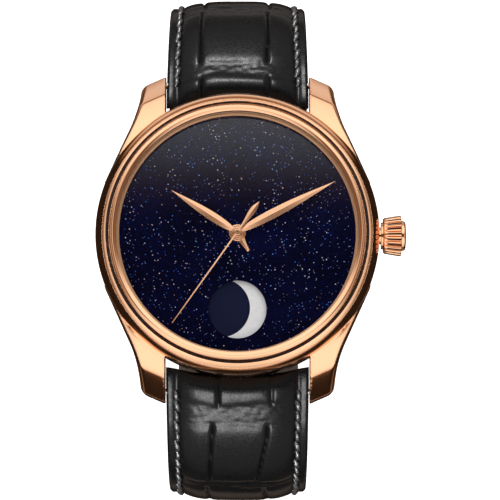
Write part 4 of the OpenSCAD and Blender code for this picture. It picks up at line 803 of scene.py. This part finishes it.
STRAP_W, STRAP_END_W = 21.2, 18.0
STRAP_T, STRAP_END_T = 4.6 * 0.94, 2.6  # the root is a little thinner than the CAD's, under its relief
TAIL_FLAT = 33.0
START = -19.9  # heading at the spring bar, in degrees
SHOULDER, SIDE = (18.2, 90 + START), (60.0, 18.0)  # radius, turn in degrees
TAIL_TURN = 72.0
SIDE_DROP = SHOULDER[0] * math.cos(math.radians(START)) + SIDE[0] * math.sin(math.radians(SIDE[1]))
TAIL_R = (HEAD + BAR_Z - SIDE_DROP - STRAP_END_T / 2) / (1 - math.cos(math.radians(TAIL_TURN)))
ROUTES = {"buckle": [SHOULDER, (50.0, 15.0), (17.0, 95.0)], "hole": [SHOULDER, SIDE, (TAIL_R, TAIL_TURN)]}
LENGTHS = {"buckle": sum(arc_len(a) for a in ROUTES["buckle"]),
           "hole": sum(arc_len(a) for a in ROUTES["hole"]) + TAIL_FLAT}
FULLNESS = {"buckle": 1.75, "hole": 1.3}
SIGN = {"buckle": 1.0, "hole": -1.0}
BODY = {"buckle": "strap_buckle_side", "hole": "strap_hole_side"}
LAST_HOLE, HOLE_PITCH, HOLE_R = 20, 6, 1.0  # the last hole's place is from the tip
HOLES = [LENGTHS["hole"] - LAST_HOLE - HOLE_PITCH * i for i in range(6)]
SLOT_HALF_W, SLOT_IN = 1.6, 2.4  # the tang's slot in the buckle half
STITCH_PITCH, STITCH_IN = 1.6, 1.55
LINING = 0.9
BORDER = 0.34  # height of the stitched border, as a share of half the thickness
STRAP_PIECES = []  # what the strap's own lights fall on


def route(half, s):
    """(y, z, heading in degrees) of the CAD's middle line, as it runs on the 12 o'clock side."""
    y, z, a = BAR_Y, HEAD + BAR_Z, START
    rest = s
    for r, turn in ROUTES[half]:
        n = r * math.radians(turn)
        part = min(rest, n) if rest >= 0 else rest
        deg = math.degrees(part / r)
        y += r * (math.sin(math.radians(a)) - math.sin(math.radians(a - deg)))
        z += r * (math.cos(math.radians(a - deg)) - math.cos(math.radians(a)))
        a -= deg
        rest -= part
        if rest <= 1e-9:
            return y, z, a
    return y + rest * math.cos(math.radians(a)), z + rest * math.sin(math.radians(a)), a


def station(half, s):
    """(y, z, cosine, sine) of the middle line and its heading, fuller over the shoulder than the CAD's."""
    y, z, a = route(half, s)
    ca, sa = math.cos(math.radians(a)), math.sin(math.radians(a))
    lift = FULLNESS[half] * float(smooth((s - 1) / 15) * (1 - smooth((s - 26) / 16)))
    return y - lift * sa, z + lift * ca, ca, sa


def on_strap(half, s, x, d, u):
    """Points across, along and above the middle line at a place on its route."""
    cy, cz, ca, sa = station(half, s)
    return np.stack(np.broadcast_arrays(x, SIGN[half] * (cy + d * ca - u * sa), cz + d * sa + u * ca), -1)


def half_width(half, s):
    return (STRAP_W + (STRAP_END_W - STRAP_W) * np.clip(s / LENGTHS[half], 0, 1)) / 2


def half_thick(half, s):
    t = np.clip(s / (LENGTHS[half] - TAIL_FLAT), 0, 1) ** 0.8
    return (STRAP_T + (STRAP_END_T - STRAP_T) * t) / 2


def lattice(ix, iy, seed):
    """A number between 0 and 1 for each whole place, from a hash."""
    h = (ix.astype(np.int64) * 374761393 + iy.astype(np.int64) * 668265263 + seed * 974634777) & 0xFFFFFFFF
    h = ((h ^ (h >> 13)) * 1274126177) & 0xFFFFFFFF
    return ((h ^ (h >> 16)) & 0xFFFFFF) / float(0xFFFFFF)


def value_noise(x, y, seed):
    ix, iy = np.floor(x), np.floor(y)
    fx, fy = x - ix, y - iy
    fx, fy = fx * fx * (3 - 2 * fx), fy * fy * (3 - 2 * fy)
    a, b = lattice(ix, iy, seed), lattice(ix + 1, iy, seed)
    c, d = lattice(ix, iy + 1, seed), lattice(ix + 1, iy + 1, seed)
    return (a * (1 - fx) + b * fx) * (1 - fy) + (c * (1 - fx) + d * fx) * fy - 0.5


# Rows of scales: start, end, left line at start and end, right line at start and end; bands lie between rows
SCALES = {
    "buckle": [
        (-6.0, 1.0, -5.3, -5.4, 4.5, 4.6), (2.7, 12.7, -5.5, -5.4, 4.4, 4.5),
        (14.2, 22.6, -4.9, -5.2, 4.9, 4.5), (23.8, 30.8, -4.6, -4.2, 4.4, 4.9),
        (31.8, 37.8, -4.4, -4.6, 4.2, 4.0), (38.7, 44.0, -3.9, -4.2, 4.4, 4.1),
        (44.8, 49.6, -4.2, -3.9, 3.9, 4.2), (50.3, 54.7, -3.7, -4.0, 3.9, 3.7),
        (55.4, 70.0, -3.8, -3.5, 3.6, 3.8),
    ],
    "hole": [
        (-6.0, 1.7, -3.0, -2.8, 5.2, 5.0), (4.2, 14.3, -3.6, -4.3, 4.6, 2.8),
        (15.9, 24.4, -4.6, -4.2, 3.9, 4.6), (25.5, 33.3, -4.1, -4.5, 4.6, 4.2),
        (34.3, 41.6, -4.6, -4.2, 4.1, 4.5), (42.5, 49.2, -4.0, -4.4, 4.5, 4.0),
        (50.0, 56.4, -4.3, -3.9, 4.0, 4.3), (57.2, 63.2, -3.8, -4.1, 4.2, 3.8),
        (64.0, 69.7, -4.1, -3.7, 3.8, 4.0), (70.4, 75.8, -3.7, -3.9, 4.0, 3.7),
        (76.5, 81.6, -3.9, -3.6, 3.6, 3.8), (82.3, 87.1, -3.5, -3.7, 3.8, 3.5),
        (87.8, 92.4, -3.6, -3.3, 3.4, 3.6), (93.0, 97.5, -3.3, -3.4, 3.4, 3.2),
        (98.1, 120.0, -3.2, -3.0, 3.1, 3.2),
    ],
}


# The leather's relief: heights and widths in millimetres
PILLOW_HIGH, PILLOW_W = 0.26, 0.55
GROOVE_DEEP, GROOVE_W = 0.24, 0.2
LIP_HIGH, LIP_OUT, LIP_W = 0.09, 0.52, 0.26
CORNER_DEEP = 0.12
BAND_HIGH, WRINKLE_HIGH, GRAIN_HIGH = 0.02, 0.11, 0.012
CHANNEL_DEEP, CHANNEL_W = 0.2, 0.34
EDGE_DEEP, EDGE_W = 0.3, 0.45
PUCKER_HIGH, PUCKER_W = 0.07, 0.5
BORDER_W = 1.95


def swell(x, width):
    """A bump of height 1 round 0."""
    return np.exp(-(x / width) ** 2)


def scale_relief(half, s, x):
    """Height of the leather's scales, bands and fine creases, in millimetres."""
    s = np.full_like(x, s)
    wob = 0.16 * value_noise(s * 0.45, x * 0.1 + 7, 11) + 0.05 * value_noise(s * 1.7, x * 0.4, 12)
    out = np.zeros_like(s)
    in_row = np.zeros_like(s)
    for k, (s0, s1, l0, l1, r0, r1) in enumerate(SCALES[half]):
        t = np.clip((s - s0) / (s1 - s0), 0, 1)
        edge_wave = 0.22 * np.sin(x * 0.55 + k * 1.7) + 0.25 * value_noise(x * 0.6, s * 0 + k, 21)
        d_end = np.minimum(s - s0 + edge_wave, s1 - s - edge_wave)
        row = smooth((d_end + 0.1) / 0.45)
        left, right = l0 + (l1 - l0) * t + wob * 1.5, r0 + (r1 - r0) * t - wob * 1.5
        dl, dr = np.abs(x - left), np.abs(x - right)
        from_line, from_end = np.minimum(dl, dr), np.maximum(d_end, 0)
        groove = swell(dl, GROOVE_W) + swell(dr, GROOVE_W)
        lips = 0.35 * (swell(dl - LIP_OUT, LIP_W) + swell(dr - LIP_OUT, LIP_W))
        pillow = 1 - np.exp(-np.minimum(from_line, from_end) / PILLOW_W)
        corner = swell(from_line, 0.7) * swell(from_end, 0.8)
        out += row * (PILLOW_HIGH * pillow + LIP_HIGH * lips - GROOVE_DEEP * groove - CORNER_DEEP * corner)
        in_row = np.maximum(in_row, row)
    wrinkle = (value_noise(x * 0.9 + 0.8 * value_noise(s, x * 0.2, 3), s * 5.2, 31)
               + 0.6 * value_noise(x * 1.7, s * 9.5, 32))
    out += (1 - in_row) * (BAND_HIGH + WRINKLE_HIGH * wrinkle)
    return out + in_row * GRAIN_HIGH * value_noise(x * 2.2, s * 2.2, 41)


def strap_top(half, s, x):
    """Height of the outer face above the middle line."""
    s = np.full_like(x, s)
    w, h = half_width(half, s), half_thick(half, s)
    ax = np.abs(x)
    plateau = 1 - np.clip(ax / (w - BORDER_W), 0, 1) ** 4
    border = BORDER * h
    channel = CHANNEL_DEEP * swell(ax - (w - STITCH_IN), CHANNEL_W)
    edge = EDGE_DEEP * smooth((ax - (w - EDGE_W)) / EDGE_W) ** 2
    inside = 1 - smooth((ax - (w - 2.2)) / 0.5)
    waves = PUCKER_HIGH * (1 - inside) * np.sin(s * 2 * np.pi / STITCH_PITCH)
    puckers = waves * swell(ax - (w - BORDER_W), PUCKER_W)
    return (border + (h * 0.95 - border) * plateau - channel - edge
            + scale_relief(half, s, x) * (0.25 + 0.75 * inside) + puckers)


# Strap pieces

ROW_STEP = 0.3
ROOT_INSIDE, END_INSIDE = 3.2, 2.2  # how far the outer leather is folded in under the root and the buckle
ROOT_REACH, ROOT_UNDER, END_ROLL = 2.6, 2.16, 1.43  # sizes of the rolls at both ends
TONGUE_R = STRAP_END_W * 0.6


def tip_half_width(half, s):
    """Half the width with the free end's pointed round tongue."""
    w = half_width(half, s)
    if half == "buckle":
        return w
    inside = min(1.0, max(0.0, (LENGTHS["hole"] - s) / TONGUE_R))
    return min(w, TONGUE_R * math.sqrt(1 - (1 - inside) ** 2) + 1e-3)


def cap_faces(loop, n_outer):
    """Triangles between the outer run of a loop and its inner run, for the strap's side walls."""
    a, b = loop[:n_outer], loop[:n_outer - 1:-1]
    faces = []
    i = j = 0
    while i < len(a) - 1 or j < len(b) - 1:
        if j >= len(b) - 1 or (i < len(a) - 1 and i / len(a) <= j / len(b)):
            faces.append((a[i], a[i + 1], b[j]))
            i += 1
        else:
            faces.append((a[i], b[j + 1], b[j]))
            j += 1
    return faces


def cutter(half, s, points, faces):
    """A solid at a place on the strap's route, from points across, along and above."""
    obj = linked("cutter", mesh_of("cutter", on_strap(half, s, *np.array(points).T), faces))
    outward(obj)
    return obj


def plug(half, s, r):
    """A round cutter through the strap."""
    segments, reach = 28, 5
    turns = [2 * math.pi * k / segments for k in range(segments)]
    points = [(r * math.cos(t), r * math.sin(t), up) for up in (-reach, reach) for t in turns]
    faces = [tuple(range(segments)), tuple(segments + k for k in reversed(range(segments)))]
    return cutter(half, s, points, faces + grid_faces(2, segments, close_cols=True))


def block(half, s, half_w, back):
    """A square cutter through the strap, from a little before a place to beyond it."""
    reach = 4.0
    points = [(x, d, u) for x in (-half_w, half_w) for d in (-back, reach) for u in (-reach, reach)]
    return cutter(half, s, points,
                  [(0, 1, 3, 2), (4, 6, 7, 5), (0, 4, 5, 1), (2, 3, 7, 6), (0, 2, 6, 4), (1, 5, 7, 3)])


def boolean_cut(obj, cutters):
    for c in cutters:
        mod = obj.modifiers.new("cut", "BOOLEAN")
        mod.operation = "DIFFERENCE"
        mod.solver = "EXACT"
        mod.object = c
    dg = bpy.context.evaluated_depsgraph_get()
    mesh = bpy.data.meshes.new_from_object(obj.evaluated_get(dg))
    obj.modifiers.clear()
    obj.data = mesh
    for c in cutters:
        bpy.data.objects.remove(c)
    mesh.polygons.foreach_set("use_smooth", [True] * len(mesh.polygons))


def strap_piece(half, kind, node, verts, faces, material):
    """A half's leather or lining, with the pin holes or the tang's slot cut."""
    obj = solid("strap_%s_%s" % (half, kind), None, verts, faces, material, BODY[half])
    if half == "hole":
        boolean_cut(obj, [plug(half, s, HOLE_R) for s in HOLES])
    else:
        boolean_cut(obj, [block(half, LENGTHS[half], SLOT_HALF_W, SLOT_IN)])
    sharpen(obj, 50)
    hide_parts("strap_%s_%s" % (half, node))
    return obj


def strap_leather(half):
    """The upper leather: a closed loop in the side view, carried across the width."""
    length = LENGTHS[half]
    margin = np.linspace(0.955, 1, 5)
    cols = np.concatenate([-margin[::-1], np.linspace(-0.94, 0.94, 84), margin])
    # Rows of (kind, s, share): inside the root, round it, along the top to the end, and back inside
    rows = [("low", s, 0) for s in np.linspace(ROOT_INSIDE, ROW_STEP, 4)]
    rows += [("roll", 0.0, t) for t in np.linspace(0, 1, 26)]
    top_end = length - (1.2 if half == "buckle" else 0.02)
    rows += [("top", s, 0) for s in np.arange(ROW_STEP, top_end, ROW_STEP)]
    if half == "buckle":
        stop = length - END_INSIDE
        rows += [("end", length, t) for t in np.linspace(0, 1, 16)]
        rows += [("low", s, 0) for s in np.linspace(length - 0.4, stop, 4)]
    else:
        stop = length - 0.01
        rows.append(("top", stop, 0))
    n_outer = len(rows)
    rows += [("split", s, 0) for s in [*np.arange(stop, ROOT_INSIDE, -1.2), ROOT_INSIDE]]
    verts = []
    for kind, s, t in rows:
        w, h = half_width(half, s), half_thick(half, s)
        x = cols * tip_half_width(half, s)
        d = 0.0
        skew = (x / 10.3) ** 2  # the rows bow towards the case at the root, and straighten over 8 mm
        if kind == "top":
            up = strap_top(half, s, x)
            d = -skew * (1 - smooth(s / 8))
            if half == "hole":
                up = up * (0.35 + 0.65 * smooth((length - s) / 1.3))
        elif kind == "low":
            up = 0.25 * smooth((np.abs(x) - (w - 0.4)) / 0.4) - h
        elif kind == "split":
            up = LINING - h + 0.005
            x = x * 0.995
        elif kind == "roll":
            phi = math.pi * (1 - t)
            reach = ROOT_REACH + 0.5 * smooth((np.abs(x) - 6) / 4.3)
            relief = 0.5 * scale_relief(half, -reach * math.sin(phi), x) * math.sin(phi)
            d = -(reach + relief) * math.sin(phi) - skew * smooth(t)
            up = np.where(math.cos(phi) > 0, strap_top(half, 0.0, x), ROOT_UNDER) * math.cos(phi)
        else:
            phi = math.pi * t
            d = END_ROLL * math.sin(phi)
            up = np.where(math.cos(phi) > 0, strap_top(half, length, x), END_ROLL) * math.cos(phi)
        verts.append(on_strap(half, s, x, d, up))
    n, m = len(rows), len(cols)
    faces = grid_faces(n, m, close_rows=True)
    for j in (0, m - 1):
        faces += cap_faces([i * m + j for i in range(n)], n_outer)
    obj = strap_piece(half, "leather", "half", np.concatenate(verts), faces, strap_black)
    STRAP_PIECES.append(obj)


def strap_lining(half):
    """The inner skin, a smooth sheet from the root to the end."""
    s0, s1 = ROOT_INSIDE + 0.05, LENGTHS[half] - (END_INSIDE + 0.05 if half == "buckle" else 0.03)
    cols = np.concatenate([[-1, -0.985], np.linspace(-0.96, 0.96, 22), [0.985, 1]])
    places = np.arange(s0, s1, 0.9).tolist() + [s1]
    lower, upper = [], []
    for s in places:
        x = cols * tip_half_width(half, s)
        h = half_thick(half, s)
        hem = 0.18 * smooth((np.abs(cols) - 0.95) / 0.05)
        lower.append(on_strap(half, s, x, 0.0, -h + hem + 0.02 * value_noise(x * 0.8, x * 0 + s * 0.8, 51)))
        upper.append(on_strap(half, s, x, 0.0, LINING - h))
    n, m = len(places), len(cols)
    low = grid_faces(n, m)
    high = [tuple(n * m + i for i in reversed(f)) for f in low]
    rim = [(i * m + j, (i + 1) * m + j) for i in range(n - 1) for j in (0, m - 1)]
    rim += [(i * m + j, i * m + j + 1) for i in (0, n - 1) for j in range(m - 1)]
    walls = [(a, b, n * m + b, n * m + a) for a, b in rim]
    strap_piece(half, "inner", "lining", np.concatenate(lower + upper), low + high + walls, lining_brown)


def stitches(half):
    """Thick waxed hand stitches in a channel along both edges, each one slanted and half sunk."""
    batch = Batch()
    end = LENGTHS[half] - (9.0 if half == "buckle" else 8.5)
    k, s = 0, 0.4
    while s < end:
        lean, fat = (0.46, 0.42) if k % 2 else (0.3, 0.35)
        for side in (-1, 1):
            x0 = side * (half_width(half, s) - STITCH_IN)
            jitter = 0.06 * math.sin(k * 2.3 + side)
            pts, nrm, rad = [], [], []
            for t in np.linspace(0, 1, 9):
                ss = s + (t - 0.5) * STITCH_PITCH * 1.12
                xx = x0 + (t - 0.5) * 2 * lean + 0.1 * math.sin(2 * math.pi * t) + jitter
                up = BORDER * half_thick(half, ss) - 0.1 + 0.42 * math.sin(math.pi * t) - 0.12
                ca, sa = station(half, ss)[2:]
                pts.append(on_strap(half, ss, xx, 0.0, up))
                nrm.append((0, SIGN[half] * -sa, ca))
                rad.append(fat * (0.5 + 0.5 * math.sin(math.pi * t)) + 0.03 * math.sin(t * 19))
            batch.add(*tube(pts, rad, 9, 0.9, nrm))
        s += STITCH_PITCH
        k += 1
    STRAP_PIECES.append(batch.make("strap_%s_stitches" % half, None, waxed, BODY[half]))


for half in ("buckle", "hole"):
    strap_leather(half)
    strap_lining(half)
    stitches(half)


# Keepers

def keeper(name, node, from_end, body):
    """A leather loop with rounded corners and thin edges, closed round the strap."""
    s_mid = LENGTHS["buckle"] - from_end
    wall, length = 1.2, 6.0
    w = half_width("buckle", s_mid) + 0.3
    low = -half_thick("buckle", s_mid) - 0.6
    high = low + (2 * STRAP_END_T + 0.9)
    outer = rounded([(-w - wall, low - wall), (w + wall, low - wall), (w + wall, high + wall),
                     (-w - wall, high + wall)], 1.5, 7)
    inner = rounded([(-w, low), (w, low), (w, high), (-w, high)], 0.7, 7)
    # The wall's section: share from the outer to the inner skin, and the place along the length
    section = [(0.0, 0.35), (0.0, length - 0.35), (0.07, length - 0.12), (0.25, length), (0.75, length),
               (0.93, length - 0.12), (1.0, length - 0.35), (1.0, 0.35), (0.93, 0.12), (0.75, 0.0),
               (0.25, 0.0), (0.07, 0.12)]
    verts = []
    for t, d in section:
        x, u = (np.array(outer) * (1 - t) + np.array(inner) * t).T
        verts.append(on_strap("buckle", s_mid, x, d - length / 2, u))
    faces = grid_faces(len(section), len(outer), close_rows=True, close_cols=True)
    solid(name, node, np.concatenate(verts), faces, strap_black, body, 60)


keeper("keeper_fixed_leather", "fixed_keeper", 9.5, "strap_buckle_side")
keeper("keeper_loose_leather", "loose_keeper", 18.5, "loose_keeper")


# Buckle

def on_buckle(points):
    """Points across, along and above the buckle's bar."""
    return on_strap("buckle", LENGTHS["buckle"], *np.array(points, float).T)


def buckle():
    """The round frame, thicker at its far side, and the bar in the strap's end."""
    batch = Batch()
    half_w, reach = 10.1, 12.5
    arm, front, bar = 0.7, 1.08, 0.68
    path = [(-half_w, -1.0), (-half_w, reach), (half_w, reach), (half_w, -1.0)]
    line = densified(rounded(path, 2.2, 10, closed=False), 0.5)
    growth = [min(1, max(0, (d - (reach - 2.6)) / 2.2)) for x, d in line]
    ca, sa = station("buckle", LENGTHS["buckle"])[2:]
    up = (0.0, -sa, ca)
    radii = [arm + (front - arm) * t for t in growth]
    batch.add(*tube(on_buckle([(x, d, 0.0) for x, d in line]), radii, 20, 1.0, [up] * len(line)))
    across = np.linspace(-half_w - 0.3, half_w + 0.3, 12)
    batch.add(*tube(on_buckle([(x, 0.0, 0.0) for x in across]), [bar] * 12, 20, 1.0, [up] * 12))
    batch.make("buckle_polished", "buckle_frame", gold, "buckle")


def squared(value):
    """A cosine or sine drawn towards a square's."""
    return math.copysign(abs(value) ** 0.6, value)


def tang():
    """The pin, from the ring on the bar to its tip, which rests on the frame."""
    batch = Batch()
    seat, w, sides = 1.18, 0.62, 24
    # Place along, lower and upper side
    stations = [(0.9, -0.1, 0.95), (2.2, 0.25, 1.35), (4.0, 0.6, 1.65), (7.0, 0.92, 1.85), (10.0, 1.1, 1.95),
                (12.2, seat, 1.98), (13.1, seat + 0.08, 1.8), (13.34, seat + 0.25, 1.55)]
    points = []
    for d, lo, hi in stations:
        narrow = w * (1.0 if d < 11 else max(0.5, 1 - (d - 11) * 0.2))
        for k in range(sides):
            t = 2 * math.pi * k / sides
            points.append((squared(math.cos(t)) * narrow, d,
                           (lo + hi) / 2 + squared(math.sin(t)) * (hi - lo) / 2))
    n = len(stations)
    ends = [tuple(range(sides)), tuple((n - 1) * sides + k for k in range(sides))]
    batch.add(on_buckle(points), grid_faces(n, sides, close_cols=True) + ends)
    prof, turns = rounded([(0.76, -0.62), (1.22, -0.62), (1.22, 0.62), (0.76, 0.62)], 0.1, 3), 32
    ang = [2 * math.pi * k / turns for k in range(turns)]
    ring = [(p[1], p[0] * math.cos(t), p[0] * math.sin(t)) for p in prof for t in ang]
    batch.add(on_buckle(ring), grid_faces(len(prof), turns, close_rows=True, close_cols=True))
    batch.make("buckle_pin_polished", "buckle_tang", gold, "tang", 50)


buckle()
tang()

# Movement and small parts

rhodium = striped_rhodium()
for node, material, bevel, slot in [
    ("barrel_bridge", rhodium, 0.09, "plate"), ("train_bridge", rhodium, 0.09, "plate"),
    ("balance_cock", rhodium, 0.08, "plate"), ("pallet_bridge", steel_bright, 0.03, "plate"),
    ("mainplate", spotted_rhodium(), 0.04, "plate_ground"), ("bridge_screws", blued, 0.03, "blued_steel"),
    ("ratchet_wheel", steel, 0.02, "steel"), ("crown_wheel", steel, 0.02, "steel"),
    ("click", steel_bright, 0.03, "steel"), ("jewels", stone_red, 0.04, "ruby"),
    ("spring_bars", steel_bright, 0.05, "steel"), ("barrel_cover", gilt, 0.03, "gilt_brass"),
    ("setting_lever", steel, 0.03, "steel"),
]:
    refined(node, material, bevel)

plain = {
    "dial": aventurine(), "moon_disc": moon_silver(), "moon_shades": navy, "movement_holder": steel,
    "crown_tube": gold, "crown_gasket": seal, "winding_stem": steel_bright, "winding_pinion": steel,
    "cannon_pinion": steel_bright, "barrel_arbor": steel_bright, "mainspring": spring_steel,
    "pallet_fork": steel_bright, "pallet_stones": stone_red, "hairspring": spring_steel,
}
gilt_wheels = ["moon_wheel", "hour_wheel", "day_night_wheel", "day_night_idler", "minute_wheel",
               "barrel_drum", "great_wheel", "third_wheel", "fourth_wheel", "escape_wheel", "balance_wheel"]
plain.update((node, gilt) for node in gilt_wheels)
for node, material in plain.items():
    data = frame["nodes"][node].data
    data.materials.clear()
    data.materials.append(material)

# Stage, light and camera

scene = bpy.context.scene
scene.view_settings.view_transform = "Standard"


def plane(name, half_size, z, material):
    mesh = bpy.data.meshes.new(name)
    corners = [(x * half_size, y * half_size, z) for x, y in ((-1, -1), (1, -1), (1, 1), (-1, 1))]
    mesh.from_pydata(corners, [], [(0, 1, 2, 3)])
    mesh.materials.append(material)
    obj = linked(name, mesh)
    return obj


def floor():
    m = Nodes("pale_floor", (0.9, 0.9, 0.9), 0.0, 0.6, Specular_IOR_Level=0.1, Emission_Color=(1, 1, 1, 1),
              Emission_Strength=0.75)
    m.link(m.mix(m.noise(4, 2, 0.5), (0.88, 0.88, 0.88), (0.92, 0.92, 0.92)), "Base Color")
    plane("floor", 3, 0.0, m.mat)


WARM, WHITE = (1.0, 0.62, 0.38), (1.0, 1.0, 1.0)  # what dark and bright reflections are tinted with


def reflection_card():
    """What polished metal sees of the table: dark at the sides, a pale stripe towards 12 o'clock."""
    m = Nodes("reflection_card", (0, 0, 0), 0.0, 1.0, Specular_IOR_Level=0.0)
    x, ahead, _ = m.xyz(m.place())
    across = m.math("ABSOLUTE", x)
    stripe = m.times(m.range(ahead, 0.060, 0.100), m.range(ahead, 0.24, 0.105, 0.3, 0.85))
    near = m.times(m.range(ahead, -0.050, -0.062), m.range(ahead, -0.078, -0.068, 0.0, 0.5))
    away = m.range(ahead, -0.15, -0.42, 0.0, 0.75)
    middle = m.range(m.math("DIVIDE", across, m.math("ADD", m.math("ABSOLUTE", ahead), 0.001)), 1.5, 0.55)
    under = m.times(m.range(across, 0.024, 0.03), m.range(across, 0.05, 0.036, 0.0, 0.2))
    total = m.times(m.math("MAXIMUM", away, m.math("MAXIMUM", stripe, near)), middle)
    total = m.math("MAXIMUM", m.math("MAXIMUM", total, under), 0.02)
    m.link(m.mix(m.range(total, 0.05, 1.0), WARM, WHITE), "Emission Color")
    m.link(total, "Emission Strength")
    card = plane("reflection_card", 1.5, 0.0004, m.mat)
    card.visible_camera = card.visible_diffuse = card.visible_shadow = False
    card.visible_transmission = card.visible_volume_scatter = False


def studio_world():
    """Bright soft walls beyond 12 and 6 o'clock, dark sides with a low strip light, dark overhead."""
    world = bpy.data.worlds.new("studio")
    scene.world = world
    world.use_nodes = True
    t = Tree(world.node_tree)
    background = next(n for n in t.tree.nodes if n.type == "BACKGROUND")
    x, y, z = t.xyz(t.node("ShaderNodeTexCoord").outputs["Generated"])
    level = t.math("SQRT", t.math("ADD", t.math("SUBTRACT", 1.0, t.times(z, z)), 0.0001))
    along_y = t.range(t.math("DIVIDE", t.math("ABSOLUTE", y), level), 0.25, 0.85)
    back = t.times(t.range(y, 0.13, 0.285, 0.0, 1.4), t.range(y, 1.2, 0.6, 0.72, 1.0))
    front = t.times(t.range(y, -0.12, -0.42, 0.0, 1.35), t.range(y, -1.15, -0.7, 0.7, 1.0))
    height = t.times(along_y, t.range(z, -0.04, 0.3, 0.65, 1.0))
    walls = t.times(t.math("MAXIMUM", back, front), height)
    side = t.math("ABSOLUTE", x)
    strip = t.times(t.range(z, 0.0, 0.35), t.range(z, 0.95, 0.4, 0.12, 0.85))
    sides = t.times(t.times(strip, t.range(side, 0.2, 0.6)), t.math("SUBTRACT", 1.0, along_y))
    ground = t.math("ADD", t.range(side, 0.14, 0.4, 0.0, 0.1), 0.02)
    total = t.math("ADD", t.math("ADD", walls, sides), ground)
    t.tree.links.new(total, background.inputs["Strength"])
    t.tree.links.new(t.mix(t.range(total, 0.05, 0.8), WARM, WHITE), background.inputs["Color"])


def sun(name, energy, direction, angle, glossy):
    data = bpy.data.lights.new(name, "SUN")
    data.energy = energy
    data.angle = math.radians(angle)
    obj = linked(name, data)
    obj.rotation_euler = Vector(direction).to_track_quat("-Z", "Y").to_euler()
    obj.visible_glossy = glossy
    return obj


def strap_light(name, elevation, azimuth, angle, energy):
    """A soft light that falls on the strap's leather and stitches only."""
    e, a = math.radians(elevation), math.radians(azimuth)
    direction = (-math.cos(e) * math.cos(a), -math.cos(e) * math.sin(a), -math.sin(e))
    lamp = sun(name, energy, direction, angle, True)
    group = bpy.data.collections.new(name + "_on")
    for obj in STRAP_PIECES:
        group.objects.link(obj)
    lamp.light_linking.receiver_collection = group


floor()
reflection_card()
studio_world()
sun("soft_top", energy=1.0, direction=(0.05, -0.35, -1.0), angle=60, glossy=False)
strap_light("strap_front", elevation=50, azimuth=-106, angle=34, energy=9.0)
strap_light("strap_back", elevation=44, azimuth=96, angle=20, energy=6.0)

ELEVATION, DISTANCE = 83.7, 0.6
WIDTH, PIXELS = 0.0737, 500  # what the picture's width shows at that distance
AIM_RIGHT, AIM_DOWN = 12.6, 17.0  # in pixels from the middle of the dial
SENSOR = 36
cam_data = bpy.data.cameras.new("camera")
cam = linked("camera", cam_data)
scene.camera = cam
e = math.radians(ELEVATION)
towards = Vector((0, -math.cos(e), math.sin(e)))
image_up = Vector((0, math.sin(e), math.cos(e)))
px = WIDTH / PIXELS
target = Vector((0, 0, HEAD * MM)) + Vector((1, 0, 0)) * AIM_RIGHT * px - image_up * AIM_DOWN * px
cam.location = target + towards * DISTANCE
cam.rotation_mode = "QUATERNION"
cam.rotation_quaternion = (-towards).to_track_quat("-Z", "Y")
cam_data.sensor_width = SENSOR
cam_data.lens = SENSOR / 2 / (WIDTH / 2 / DISTANCE)
cam_data.clip_start, cam_data.clip_end = 0.01, 50
